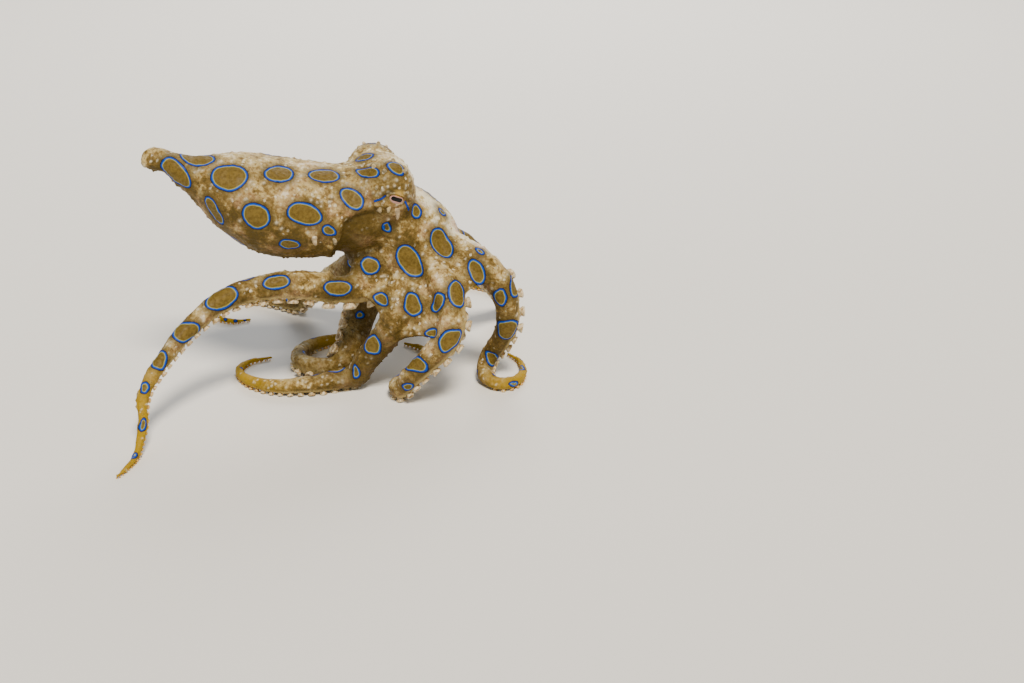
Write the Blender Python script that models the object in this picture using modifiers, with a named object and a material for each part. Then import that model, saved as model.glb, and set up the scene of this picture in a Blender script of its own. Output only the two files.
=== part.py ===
# Blue ringed octopus, a still life-size model that stands on its arms.
# Metres, +Z up, the floor at z = 0 and the origin under the middle of the footprint.
# The animal looks to +X and a little to +Y, so its right side is towards -Y.
# The body is planned in millimetres and made in metres.

import math
import random

import bmesh
import bpy
from mathutils import Matrix, Vector

MM = 0.001
GAP = 0.3  # between two nodes that meet
FOOTPRINT_CENTRE = Vector((3.1, -1.9, 0.0))  # of the plan, moved to the origin
UP = Vector((0.0, 0.0, 1.0))
DOWN = -UP

FACING = math.radians(18.0)  # of the head, turned from +X towards +Y
FORWARD = Vector((math.cos(FACING), math.sin(FACING), 0.0))
LEFT = UP.cross(FORWARD)

# Mantle: centre and half height of each section, from the pointed end to the neck
MANTLE_SECTIONS = (
    ((-27.6, -9.1, 41.5), 0.6),
    ((-27.1, -9.0, 41.6), 1.2),
    ((-26.1, -8.8, 41.5), 1.65),
    ((-24.6, -8.4, 41.2), 1.75),
    ((-22.0, -7.9, 39.4), 2.6),
    ((-19.8, -7.4, 37.8), 3.5),
    ((-16.4, -6.7, 35.5), 5.7),
    ((-12.3, -5.8, 33.6), 7.5),
    ((-7.8, -4.8, 32.0), 8.25),
    ((-2.2, -3.6, 30.9), 8.1),
    ((2.8, -2.5, 30.4), 7.6),
    ((6.4, -1.6, 30.7), 7.6),
    ((10.4, -0.8, 31.2), 7.2),
)
MANTLE_ALONG = Vector((0.97, 0.21, -0.10))
MANTLE_WIDTH = 1.08  # half width over half height
MANTLE_SIDES = 22
MANTLE_EDGE_POINT = Vector((3.0, -2.4, 27.0))
MANTLE_EDGE_NORMAL = Vector((0.97, 0.23, -0.06))  # the opening faces forward
NECK_SECTIONS = 4  # the last ones of the mantle, which go on as the neck
NECK_THINNER = 0.35

# Head: each oval has half sizes forward, across and up, or along the way to the mouth
MOUTH_AXIS = Vector((0.52, 0.11, -0.85)).normalized()
HEAD_CENTRE = Vector((9.8, -0.2, 30.6))
HEAD_HALF = (6.3, 7.0, 7.0)
CHEEK_CENTRE = Vector((13.0, 0.4, 26.6))
CHEEK_HALF = (6.1, 8.0, 8.2)
FACE_CENTRE = Vector((16.6, 1.3, 27.0))
FACE_AXIS = FORWARD - UP
FACE_HALF = (4.7, 6.6, 9.0)
BROW_CENTRE = Vector((10.2, -0.2, 34.0))
BROW_HALF = (5.7, 7.3, 5.5)
EYE_MOUND_CENTRE = Vector((10.3, -0.2, 34.2))
EYE_MOUND_OUT = 4.8  # from the middle plane
EYE_MOUND_HALF = (4.8, 4.4, 5.5)
EYE_CENTRE = Vector((10.9, 0.0, 34.3))
EYE_OUT = 6.7
EYE_RADIUS = 2.2
LID_OPENING = (1.85, 1.25)  # half width and half height
LID_THICKNESS = 0.5
LID_SIDES = 16
PUPIL_SIZE = (1.9, 0.7, 0.9)

# Ring of arms round the mouth
RING_CENTRE = Vector((14.6, 0.4, 21.4))
RING_RADIUS = 5.3
RING_HALF = (7.2, 7.9, 5.9)
RING_ABOVE_CENTRE = 4.0  # where the ring and the head are parted
RING_CLEARING = (9.8, 10.5)  # radius and depth of the room kept free for the head
RING_CLEARING_AHEAD = 1.8
RING_CLEARING_SIDES = 20
RING_FRONT = (FORWARD - MOUTH_AXIS * FORWARD.dot(MOUTH_AXIS)).normalized()
RING_LEFT = RING_FRONT.cross(MOUTH_AXIS)

# Funnel, under the neck
FUNNEL_PATH = (Vector((9.0, -1.0, 25.8)), Vector((6.6, -2.2, 23.6)), Vector((4.2, -3.2, 21.8)))
FUNNEL_RADII = (2.6, 2.0, 1.25)
FUNNEL_SIDES = 12

# Arms
ARM_ROOT_RADIUS = 3.0
ARM_TIP_RADIUS = 0.32
ARM_SIDES = 8
ARM_STEP = 2.3  # between sections
ARM_BEND_REACH = 0.8  # on both sides of a point, to find which way the arm runs there
# The length of each arm that stays with the ring of arms and its web
ROOT_LENGTH = 13.0
LONG_ROOTS = {"arm_r1": 16.5, "arm_r2": 18.5, "arm_r3": 18.5}
ARM_SHARES = (0.0, 0.34, 0.66, 1.0)  # where the free arm is parted
ARM_LENGTH_NAMES = ("upper", "middle", "tip")
SUCKER_STAND = 0.36  # how far the suckers stand out, in arm radii
REST_SHARE = 0.9  # of its depth that a lying arm has above the floor
LANDING = 0.8  # how softly an arm comes down to the floor
# How far the web reaches along an arm, and the share by which its edge draws back between two arms.
# The sectors named after their first arm hang lower.
WEB_EDGE = (12.0, 0.25)
LOW_WEB_EDGES = {"arm_r3": (17.5, 0.08), "arm_r2": (15.5, 0.2)}
WEB_BULGE = 1.2
WEB_THICKNESS = 1.1
WEB_ACROSS = 5
WEB_ALONG = 4

# Suckers, in two rows that lean apart. Radius and spacing are shares of the arm's radius.
SUCKER_START = 5.5  # along an arm
SUCKER_RADIUS = 0.46
SUCKER_LEAST_RADIUS = 0.26
SUCKER_SPACING = 1.45
SUCKER_LEAST_SPACING = 1.9
SUCKER_LEAN = math.radians(24.0)
SUCKER_VARIES = 0.15
SUCKER_SEED = 11
SUCKER_SIDES = 6
SUCKER_PROFILE = ((0.7, -0.8), (1.0, 0.78), (0.55, 0.4))  # root, rim and cup: radius and height

# Mouth, in the middle under the ring
MOUTH_BELOW_CENTRE = 3.8
LIP_RADIUS = 1.7
LIP_THICKNESS = 0.6
LIP_SIDES = 12
BEAK_PIT = (0.9, 0.9, 1.6)

# Small papillae over each eye: how far forward of it, up from it and out
PAPILLAE = ((-1.2, 3.4, -0.5), (1.4, 3.1, -0.7), (0.2, 4.6, -1.9))
PAPILLA_RADIUS = 0.45
PAPILLA_HEIGHT = 1.0
PAPILLA_STEPS = (-0.8, 0.0, 0.6, 1.0)  # heights of its sections, as shares, from inside the head
PAPILLA_TAPER = 0.7
PAPILLA_SIDES = 6

# Each arm: its angle round the mouth from the front, positive on the left side,
# the points that it passes after its root, and where its suckers face by share of its length.
# Where the points run below the floor the arm lies on it, lifted by its own thickness.
ARMS = {
    "arm_r1": {
        "angle": -25,
        "points": (
            (27.0, -4.6, 21.6), (31.0, -6.0, 17.2), (31.8, -6.0, 11.4), (30.6, -4.6, 7.4),
            (28.9, -3.4, 4.2), (27.8, -4.4, 1.8), (28.0, -7.4, -2), (30.4, -9.8, -2),
            (33.2, -8.4, -2), (34.4, -4.2, -2), (33.8, 0.6, -2), (31.6, 4.0, -2),
        ),
        "faces": (
            (0.0, MOUTH_AXIS), (0.16, Vector((0, 0.7, -0.7))), (0.3, Vector((0.8, 0.8, 0.1))),
            (0.42, Vector((1, 0.1, 0))), (0.6, Vector((0.8, 0.5, -0.4))), (0.75, DOWN), (1.0, DOWN),
        ),
    },
    "arm_r2": {
        "angle": -68,
        "points": (
            (22.0, -11.0, 17.6), (22.2, -14.2, 12.8), (18.6, -15.2, 8.4), (14.8, -14.4, 3.9),
            (12.8, -11.6, -2), (14.6, -7.4, -2), (17.0, -2.8, -2), (17.6, 2.2, -2), (16.0, 6.2, -2),
            (12.8, 8.4, -2),
        ),
        "faces": (
            (0.0, MOUTH_AXIS), (0.25, Vector((1, 0.3, -0.3))), (0.4, Vector((0.6, 0.2, -0.8))),
            (0.6, DOWN), (1.0, DOWN),
        ),
    },
    "arm_r3": {
        "angle": -112,
        "points": (
            (13.6, -9.4, 15.6), (11.8, -9.8, 11.4), (9.0, -9.4, 7.4), (6.6, -9.0, 3.6),
            (3.6, -9.4, -2), (-0.8, -10.8, -2), (-5.4, -11.4, -2), (-9.8, -10.4, -2),
            (-13.4, -7.6, -2), (-15.2, -3.6, -2), (-13.8, 0.4, -2), (-10.2, 2.4, -2),
        ),
        "faces": (
            (0.0, MOUTH_AXIS), (0.3, Vector((-0.3, 0.8, -0.5))), (0.55, DOWN), (1.0, DOWN),
        ),
    },
    "arm_r4": {
        "angle": -155,
        "points": (
            (7.4, -5.8, 17.9), (3.0, -8.4, 18.6), (-6.0, -11.0, 20.2), (-14.4, -13.8, 19.0),
            (-20.4, -18.0, 15.4), (-24.4, -22.8, 11.4), (-26.7, -27.0, 7.8), (-26.5, -30.4, 4.3),
            (-26.8, -33.6, 1.4), (-27.6, -37.2, -2), (-28.9, -40.8, -2),
        ),
        "faces": (
            (0.0, MOUTH_AXIS), (0.2, Vector((0.1, 0.2, -1))), (0.55, Vector((0.5, 0.3, -0.8))),
            (0.8, Vector((0.2, 0.2, -1))), (0.85, DOWN), (1.0, DOWN),
        ),
    },
    "arm_l1": {
        "angle": 25,
        "points": (
            (23.2, 8.2, 19.6), (26.6, 12.0, 14.6), (29.2, 16.2, 9.6), (31.0, 20.4, 4.8),
            (31.8, 24.8, -2), (30.8, 30.2, -2), (27.0, 33.6, -2), (22.4, 35.4, -2),
            (17.6, 36.0, -2), (13.2, 34.6, -2),
        ),
        "faces": (
            (0.0, MOUTH_AXIS), (0.3, Vector((-0.5, -0.4, -0.8))), (0.55, DOWN), (1.0, DOWN),
        ),
    },
    "arm_l2": {
        "angle": 68,
        "points": (
            (15.6, 12.4, 19.6), (15.2, 17.6, 15.0), (14.2, 22.2, 9.8), (12.6, 26.4, 5.0),
            (10.6, 30.6, -2), (7.0, 34.0, -2), (2.4, 35.8, -2), (-2.6, 36.0, -2),
            (-7.4, 35.0, -2), (-11.6, 32.6, -2),
        ),
        "faces": (
            (0.0, MOUTH_AXIS), (0.3, Vector((0, -0.6, -0.8))), (0.55, DOWN), (1.0, DOWN),
        ),
    },
    "arm_l3": {
        "angle": 112,
        "points": (
            (8.2, 10.6, 17.0), (3.6, 14.8, 13.2), (-1.2, 18.4, 8.8), (-5.8, 21.4, 4.6),
            (-10.4, 24.4, -2), (-15.4, 26.6, -2), (-20.0, 26.8, -2), (-23.2, 24.0, -2),
            (-23.0, 20.0, -2), (-19.8, 17.8, -2), (-16.2, 18.8, -2),
        ),
        "faces": (
            (0.0, MOUTH_AXIS), (0.3, Vector((0.5, -0.5, -0.8))), (0.55, DOWN), (1.0, DOWN),
        ),
    },
    "arm_l4": {
        "angle": 155,
        "points": (
            (8.0, 2.2, 13.8), (6.2, 0.6, 9.6), (4.8, -1.8, 5.6), (3.0, -4.2, 2.6),
            (-0.2, -5.0, -2), (-3.6, -3.4, -2), (-5.2, 0.4, -2), (-4.0, 4.6, -2),
            (-0.6, 8.0, -2), (4.0, 9.8, -2), (8.6, 11.2, -2), (12.8, 13.6, -2),
        ),
        "faces": (
            (0.0, MOUTH_AXIS), (0.25, Vector((-0.9, -0.3, -0.2))), (0.45, Vector((-0.8, -0.4, -0.5))),
            (0.6, DOWN), (1.0, DOWN),
        ),
    },
}

FINISHES = {
    "skin": {"color": (0.62, 0.47, 0.27), "roughness": 0.45},
    "eye": {"color": (0.50, 0.34, 0.12), "roughness": 0.12},
}


def clear_scene():
    for obj in list(bpy.data.objects):
        bpy.data.objects.remove(obj)


def make_material(name):
    made = bpy.data.materials.new(name)
    made.use_nodes = True
    shader = made.node_tree.nodes["Principled BSDF"]
    shader.inputs["Base Color"].default_value = (*FINISHES[name]["color"], 1.0)
    shader.inputs["Roughness"].default_value = FINISHES[name]["roughness"]
    shader.inputs["Metallic"].default_value = 0.0
    return made


def new_object(name, bm):
    """A new object from a bmesh, in the octopus collection, with its faces turned out."""
    bmesh.ops.recalc_face_normals(bm, faces=bm.faces)
    if bm.calc_volume(signed=True) < 0:
        bmesh.ops.reverse_faces(bm, faces=bm.faces)
    mesh = bpy.data.meshes.new(name)
    bm.to_mesh(mesh)
    bm.free()
    obj = bpy.data.objects.new(name, mesh)
    octopus.objects.link(obj)
    return obj


def apply_modifiers(obj):
    graph = bpy.context.evaluated_depsgraph_get()
    mesh = bpy.data.meshes.new_from_object(obj.evaluated_get(graph))
    obj.modifiers.clear()
    obj.data = mesh


def keep_largest(obj):
    """Drops every closed surface of the object but the one with most faces."""
    bm = bmesh.new()
    bm.from_mesh(obj.data)
    unseen = set(bm.faces)
    islands = []
    while unseen:
        island = [unseen.pop()]
        for face in island:
            for edge in face.edges:
                for near in edge.link_faces:
                    if near in unseen:
                        unseen.remove(near)
                        island.append(near)
        islands.append(island)
    islands.sort(key=len)
    loose = [face for island in islands[:-1] for face in island]
    bmesh.ops.delete(bm, geom=loose, context="FACES")
    bm.to_mesh(obj.data)
    bm.free()


def boolean(obj, helpers, operation):
    """One Boolean of the object with a collection of helpers, which are then removed."""
    group = bpy.data.collections.new("helpers")
    bpy.context.scene.collection.children.link(group)
    for helper in helpers:
        octopus.objects.unlink(helper)
        group.objects.link(helper)
    step = obj.modifiers.new(operation.lower(), "BOOLEAN")
    step.operation = operation
    step.operand_type = "COLLECTION"
    step.collection = group
    apply_modifiers(obj)
    for helper in helpers:
        bpy.data.objects.remove(helper)
    bpy.data.collections.remove(group)
    keep_largest(obj)
    return obj


def placed(centre, along, side, sizes=(1.0, 1.0, 1.0)):
    """Turns local Z to along and local X near side, and scales by sizes, all in millimetres."""
    z_axis = along.normalized()
    x_axis = (side - z_axis * side.dot(z_axis)).normalized()
    turn = Matrix((x_axis, z_axis.cross(x_axis), z_axis)).transposed().to_4x4()
    middle = Matrix.Translation((centre - FOOTPRINT_CENTRE) * MM)
    return middle @ turn @ Matrix.Diagonal((*(size * MM for size in sizes), 1.0))


def oval(name, centre, along, side, half_sizes, sides=18, rows=10):
    bm = bmesh.new()
    matrix = placed(centre, along, side, half_sizes)
    bmesh.ops.create_uvsphere(bm, u_segments=sides, v_segments=rows, radius=1.0, matrix=matrix)
    return new_object(name, bm)


def half_space(point, normal, size=120.0):
    """A block on the side of a plane that the normal points to."""
    bm = bmesh.new()
    normal = normal.normalized()
    side = Vector((0.0, 1.0, 0.0))
    centre = point + normal * (size / 2)
    bmesh.ops.create_cube(bm, size=size, matrix=placed(centre, normal, side))
    return new_object("half_space", bm)


def loft(name, frames, sides):
    """A closed skin through unit circles placed by matrices."""
    bm = bmesh.new()
    loops = []
    for frame in frames:
        made = bmesh.ops.create_circle(bm, segments=sides, radius=1.0, matrix=frame)
        loops.append(list({edge for vert in made["verts"] for edge in vert.link_edges}))
    for here, following in zip(loops, loops[1:]):
        bmesh.ops.bridge_loops(bm, edges=here + following)
    bmesh.ops.holes_fill(bm, edges=loops[0] + loops[-1], sides=0)
    return new_object(name, bm)


def smooth_path(points, samples=12):
    """Points along a Catmull-Rom curve through the given ones."""
    before = points[0] * 2 - points[1]
    after = points[-1] * 2 - points[-2]
    ends = [before, *points, after]
    path = []
    for a, b, c, d in zip(ends, ends[1:], ends[2:], ends[3:]):
        for step in range(samples):
            t = step / samples
            square = (a * 2 - b * 5 + c * 4 - d) * t**2
            cube = (b * 3 - a - c * 3 + d) * t**3
            path.append((b * 2 + (c - a) * t + square + cube) / 2)
    path.append(points[-1].copy())
    return path


class Arm:
    """An arm's centre line, thickness and the side its suckers face, by distance from its root."""

    def __init__(self, name, plan):
        self.name = name
        turn = math.radians(plan["angle"])
        out = RING_FRONT * math.cos(turn) + RING_LEFT * math.sin(turn)
        root = RING_CENTRE + out * RING_RADIUS
        self.path = smooth_path([root] + [Vector(point) for point in plan["points"]])
        self.faces = plan["faces"]
        self.runs = [0.0]
        for here, following in zip(self.path, self.path[1:]):
            self.runs.append(self.runs[-1] + (following - here).length)
        self.length = self.runs[-1]
        self.root_length = LONG_ROOTS.get(name, ROOT_LENGTH)

    def radius(self, run):
        return ARM_ROOT_RADIUS + (ARM_TIP_RADIUS - ARM_ROOT_RADIUS) * run / self.length

    def facing(self, run):
        """Roughly where the suckers face."""
        share = run / self.length
        for (low, first), (high, second) in zip(self.faces, self.faces[1:]):
            if share <= high:
                break
        blend = min((share - low) / (high - low), 1.0)
        return first.normalized().lerp(second.normalized(), blend)

    def at(self, run):
        """The centre line, lifted off the floor by the arm's own thickness."""
        run = min(max(run, 0.0), self.length)
        last = max(i for i, passed in enumerate(self.runs[:-1]) if passed <= run)
        share = (run - self.runs[last]) / (self.runs[last + 1] - self.runs[last])
        point = self.path[last].lerp(self.path[last + 1], share)
        below = self.radius(run) * (1 + SUCKER_STAND * max(0.0, -self.facing(run).z))
        above = point.z - below * REST_SHARE
        point.z += (math.hypot(above, LANDING) - above) / 2
        return point

    def along(self, run):
        return (self.at(run + ARM_BEND_REACH) - self.at(run - ARM_BEND_REACH)).normalized()

    def section(self, run):
        """Places a unit circle as the arm's section, its local X towards the suckers."""
        radius = self.radius(run)
        return placed(self.at(run), self.along(run), self.facing(run), (radius, radius, 1.0))

    def stretch(self, name, start, end):
        count = max(2, round((end - start) / ARM_STEP))
        runs = [start + (end - start) * i / count for i in range(count + 1)]
        return loft(name, [self.section(run) for run in runs], ARM_SIDES)

    def sucker(self, run, size, row):
        """A cup on a short stalk, leaning out to its row."""
        along = self.along(run)
        side = self.facing(run)
        side = (side - along * side.dot(along)).normalized()
        lean = side * math.cos(SUCKER_LEAN) + along.cross(side) * (row * math.sin(SUCKER_LEAN))
        foot = self.at(run) + lean * self.radius(run)
        frames = []
        for width, height in SUCKER_PROFILE:
            radius = width * size
            frames.append(placed(foot + lean * (height * size), lean, along, (radius, radius, 1.0)))
        return loft(self.name + "_sucker", frames, SUCKER_SIDES)

    def suckers(self, start, end):
        """The suckers of a stretch, whole within it and smaller towards the arm's tip."""
        draw = random.Random(f"{SUCKER_SEED} {self.name} {start:.2f}")
        made = []
        run = start
        row = 1
        while True:
            size = max(SUCKER_RADIUS * self.radius(run), SUCKER_LEAST_RADIUS)
            size *= draw.uniform(1 - SUCKER_VARIES, 1)
            centre = run + size
            if centre + size > end:
                return made
            made.append(self.sucker(centre, size, row))
            run += max(SUCKER_SPACING * self.radius(run), SUCKER_LEAST_SPACING)
            row = -row


def ring_round(name, radius, thickness, sides):
    """A torus of unit width, ready to be placed."""
    bpy.ops.mesh.primitive_torus_add(
        major_radius=1.0, minor_radius=thickness / radius, major_segments=sides, minor_segments=6
    )
    made = bpy.context.object
    made.name = name
    bpy.context.collection.objects.unlink(made)
    octopus.objects.link(made)
    return made


def web_between(first, second):
    """The skin between two arms, its edge drawn back in the middle."""
    bm = bmesh.new()
    reach, scallop = LOW_WEB_EDGES.get(first.name, WEB_EDGE)
    bmesh.ops.create_grid(bm, x_segments=WEB_ACROSS, y_segments=WEB_ALONG, size=0.5)
    for vert in bm.verts:
        across = vert.co.x + 0.5
        middle = 4 * across * (1 - across)
        run = (vert.co.y + 0.5) * reach * (1 - scallop * middle)
        point = first.at(run).lerp(second.at(run), across) - MOUTH_AXIS * (WEB_BULGE * middle)
        vert.co = (point - FOOTPRINT_CENTRE) * MM
    bmesh.ops.triangulate(bm, faces=bm.faces)
    sheet = new_object("web_sheet", bm)
    wall = sheet.modifiers.new("wall", "SOLIDIFY")
    wall.thickness = WEB_THICKNESS * MM
    wall.offset = 0.0
    apply_modifiers(sheet)
    return sheet


def cut_at_floor(obj):
    """Small flats where the object rests on the floor."""
    if min(vert.co.z for vert in obj.data.vertices) < 0:
        boolean(obj, [half_space(Vector(), DOWN)], "DIFFERENCE")


def sack(name, sections, thinner=0.0):
    """A loft through sections of the mantle, or of the neck that goes on from it."""
    frames = []
    for centre, half_height in sections:
        half_height -= thinner
        sizes = (half_height * MANTLE_WIDTH, half_height, 1.0)
        frames.append(placed(Vector(centre), MANTLE_ALONG, MANTLE_ALONG.cross(UP), sizes))
    return loft(name, frames, MANTLE_SIDES)


def make_neck(grown=0.0):
    return sack("neck", MANTLE_SECTIONS[-NECK_SECTIONS:], NECK_THINNER - grown)


def make_mantle():
    opening = half_space(MANTLE_EDGE_POINT, MANTLE_EDGE_NORMAL)
    return boolean(sack("mantle", MANTLE_SECTIONS), [opening], "DIFFERENCE")


def on_side(side, middle, out):
    """A point out from the head's middle plane: side is -1 for its right, 1 for its left."""
    return middle + LEFT * (side * out)


def eyelids(side):
    """A fold of skin round the eye, as an oval ring."""
    lids = ring_round("lids", LID_OPENING[0], LID_THICKNESS, LID_SIDES)
    centre = on_side(side, EYE_CENTRE, EYE_OUT + EYE_RADIUS - LID_THICKNESS / 2)
    width, height = (half + LID_THICKNESS for half in LID_OPENING)
    lids.data.transform(placed(centre, LEFT * side, FORWARD, (width, height, width)))
    return lids


def papillae(side):
    """Small cones of skin over the eye."""
    made = []
    for forward, above, out in PAPILLAE:
        centre = on_side(side, EYE_CENTRE, EYE_OUT + out) + FORWARD * forward + UP * above
        lean = (centre - on_side(side, EYE_MOUND_CENTRE, EYE_MOUND_OUT)).normalized()
        frames = []
        for share in PAPILLA_STEPS:
            radius = PAPILLA_RADIUS * (1 - PAPILLA_TAPER * max(share, 0.0))
            middle = centre + lean * (share * PAPILLA_HEIGHT)
            frames.append(placed(middle, lean, FORWARD, (radius, radius, 1.0)))
        made.append(loft("papilla", frames, PAPILLA_SIDES))
    return made


def head_ovals(grown=0.0):
    """The two ovals that make the head, which may be grown for a gap."""
    skull = oval("head", HEAD_CENTRE, UP, FORWARD, [half + grown for half in HEAD_HALF])
    cheeks = oval("cheeks", CHEEK_CENTRE, MOUTH_AXIS, FORWARD, [half + grown for half in CHEEK_HALF])
    return skull, cheeks


def face_oval():
    """The slope from the eyes down to the arms, which the head and the ring of arms share."""
    return oval("face", FACE_CENTRE, FACE_AXIS, FORWARD, FACE_HALF)


def make_head():
    head, cheeks = head_ovals()
    pieces = [cheeks, oval("brow", BROW_CENTRE, UP, FORWARD, BROW_HALF), face_oval(), make_neck()]
    cuts = [
        half_space(MANTLE_EDGE_POINT + MANTLE_EDGE_NORMAL.normalized() * GAP, -MANTLE_EDGE_NORMAL),
        half_space(ring_top(), MOUTH_AXIS),
    ]
    for side in (-1, 1):
        mound = on_side(side, EYE_MOUND_CENTRE, EYE_MOUND_OUT)
        pieces.append(oval("mound", mound, UP, FORWARD, EYE_MOUND_HALF))
        pieces.append(eyelids(side))
        pieces += papillae(side)
        centre = on_side(side, EYE_CENTRE, EYE_OUT)
        socket = EYE_RADIUS + GAP
        cuts.append(oval("socket", centre, UP, FORWARD, (socket, socket, socket)))
        front = on_side(side, EYE_CENTRE, EYE_OUT + EYE_RADIUS)
        cuts.append(oval("opening", front, LEFT, FORWARD, (*LID_OPENING, EYE_RADIUS)))
    boolean(head, pieces, "UNION")
    return boolean(head, cuts, "DIFFERENCE")


def make_eye(name, side):
    centre = on_side(side, EYE_CENTRE, EYE_OUT)
    eye = oval(name, centre, LEFT * side, FORWARD, (EYE_RADIUS,) * 3, sides=16, rows=9)
    bm = bmesh.new()
    front = on_side(side, EYE_CENTRE, EYE_OUT + EYE_RADIUS)
    bmesh.ops.create_cube(bm, size=1.0, matrix=placed(front, LEFT * side, FORWARD, PUPIL_SIZE))
    return boolean(eye, [new_object("pupil", bm)], "DIFFERENCE")


def make_funnel():
    path = smooth_path(list(FUNNEL_PATH), samples=3)
    frames = []
    for i, point in enumerate(path):
        along = path[min(i + 1, len(path) - 1)] - path[max(i - 1, 0)]
        share = 2 * i / (len(path) - 1)
        low = min(int(share), 1)
        radius = FUNNEL_RADII[low] + (FUNNEL_RADII[low + 1] - FUNNEL_RADII[low]) * (share - low)
        frames.append(placed(point, along, LEFT, (radius, radius, 1.0)))
    funnel = loft("funnel", frames, FUNNEL_SIDES)
    return boolean(funnel, [*head_ovals(GAP), make_neck(GAP)], "DIFFERENCE")


def ring_top():
    return RING_CENTRE - MOUTH_AXIS * RING_ABOVE_CENTRE


def make_ring(arms):
    """The roots of the arms, the web between them and the middle that holds the mouth."""
    centre = RING_CENTRE - MOUTH_AXIS * (RING_ABOVE_CENTRE / 2)
    ring = oval("web", centre, MOUTH_AXIS, FORWARD, RING_HALF)
    pieces = [arm.stretch(arm.name + "_root", 0.0, arm.root_length - GAP / 2) for arm in arms]
    pieces += [web_between(first, second) for first, second in zip(arms, arms[1:] + arms[:1])]
    for arm in arms:
        pieces += arm.suckers(SUCKER_START, arm.root_length - GAP / 2)
    mouth = RING_CENTRE + MOUTH_AXIS * MOUTH_BELOW_CENTRE
    lips = ring_round("lips", LIP_RADIUS, LIP_THICKNESS, LIP_SIDES)
    lips.data.transform(placed(mouth, MOUTH_AXIS, FORWARD, (LIP_RADIUS,) * 3))
    boolean(ring, [*pieces, face_oval(), lips], "UNION")
    low = ring_top() + MOUTH_AXIS * GAP + RING_FRONT * RING_CLEARING_AHEAD
    width, depth = RING_CLEARING
    ends = (low, low - MOUTH_AXIS * depth)
    rims = [placed(end, MOUTH_AXIS, FORWARD, (width, width, 1.0)) for end in ends]
    pit = oval("pit", mouth, MOUTH_AXIS, FORWARD, BEAK_PIT, sides=10, rows=6)
    clearing = loft("clearing", rims, RING_CLEARING_SIDES)
    return boolean(ring, [clearing, pit], "DIFFERENCE")


def make_arm(arm):
    """The free arm in three lengths, with its suckers."""
    free = arm.length - arm.root_length
    for length_name, start, end in zip(ARM_LENGTH_NAMES, ARM_SHARES, ARM_SHARES[1:]):
        first = arm.root_length + free * start + GAP / 2
        last = arm.root_length + free * end - GAP / 2
        part = arm.stretch(f"{arm.name}_{length_name}", first, last)
        boolean(part, arm.suckers(first, last), "UNION")
        cut_at_floor(part)


clear_scene()
octopus = bpy.data.collections.new("blue_ringed_octopus")
bpy.context.scene.collection.children.link(octopus)
arms = sorted((Arm(name, plan) for name, plan in ARMS.items()), key=lambda arm: ARMS[arm.name]["angle"])
make_mantle()
make_head()
make_eye("eye_right", -1)
make_eye("eye_left", 1)
make_funnel()
make_ring(arms)
for arm in arms:
    make_arm(arm)
skin = make_material("skin")
eye_shine = make_material("eye")
for part in octopus.objects:
    part.data.materials.clear()
    part.data.materials.append(eye_shine if part.name.startswith("eye") else skin)
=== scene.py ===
import math
import random
from functools import partial

import bmesh
import bpy
import numpy as np
from mathutils import Matrix, Vector, noise
from mathutils.bvhtree import BVHTree
from mathutils.kdtree import KDTree


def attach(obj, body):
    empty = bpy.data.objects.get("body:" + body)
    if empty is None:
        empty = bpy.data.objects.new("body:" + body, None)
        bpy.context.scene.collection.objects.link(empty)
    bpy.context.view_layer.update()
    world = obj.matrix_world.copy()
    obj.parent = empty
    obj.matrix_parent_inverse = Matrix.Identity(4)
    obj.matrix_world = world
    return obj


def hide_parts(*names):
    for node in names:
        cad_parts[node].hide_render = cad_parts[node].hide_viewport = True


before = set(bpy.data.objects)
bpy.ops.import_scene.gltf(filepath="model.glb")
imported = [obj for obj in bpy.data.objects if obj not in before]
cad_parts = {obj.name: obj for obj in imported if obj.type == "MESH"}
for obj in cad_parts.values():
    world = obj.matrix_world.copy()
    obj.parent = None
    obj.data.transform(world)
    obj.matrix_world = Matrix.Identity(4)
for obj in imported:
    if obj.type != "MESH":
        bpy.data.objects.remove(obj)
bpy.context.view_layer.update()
print("frame loaded")

mm = 0.001
up = Vector((0.0, 0.0, 1.0))
far = 9.0  # given to places that a form or a marking doesn't reach

# The animal is planned in millimetres round the same point as its solids, then moved to the frame.
body = {
    "footprintCentre": Vector((3.1, -1.9, 0.0)),
    "facing": math.radians(18.0),  # of the head, from +X towards +Y
    "mouthAxis": Vector((0.52, 0.11, -0.85)).normalized(),
    "ringCentre": Vector((14.6, 0.4, 21.4)),  # of the arms round the mouth
    "ringRadius": 5.3,
}
forward = Vector((math.cos(body["facing"]), math.sin(body["facing"]), 0.0))
left = up.cross(forward)
mouthAxis = body["mouthAxis"]
ringFront = (forward - mouthAxis * forward.dot(mouthAxis)).normalized()
ringLeft = ringFront.cross(mouthAxis)


def toFrame(point):
    return (Vector(point) - body["footprintCentre"]) * mm


def placed(centre, along, side, sizes):
    # local Z goes along, local X near side, and sizes are in millimetres
    zAxis = along.normalized()
    xAxis = (side - zAxis * side.dot(zAxis)).normalized()
    turn = Matrix((xAxis, zAxis.cross(xAxis), zAxis)).transposed().to_4x4()
    return Matrix.Translation(toFrame(centre)) @ turn @ Matrix.Diagonal((*(size * mm for size in sizes), 1.0))


def smoothPath(points, samples=12):
    # a curve through all the points
    ends = [points[0] * 2 - points[1], *points, points[-1] * 2 - points[-2]]
    path = []
    for a, b, c, d in zip(ends, ends[1:], ends[2:], ends[3:]):
        for step in range(samples):
            t = step / samples
            square = (a * 2 - b * 5 + c * 4 - d) * t**2
            cube = (b * 3 - a - c * 3 + d) * t**3
            path.append((b * 2 + (c - a) * t + square + cube) / 2)
    path.append(points[-1].copy())
    return path


def addOval(bm, centre, along, side, halfSizes, sides=40, rows=24):
    bmesh.ops.create_uvsphere(
        bm, u_segments=sides, v_segments=rows, radius=1.0, matrix=placed(centre, along, side, halfSizes)
    )


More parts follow.
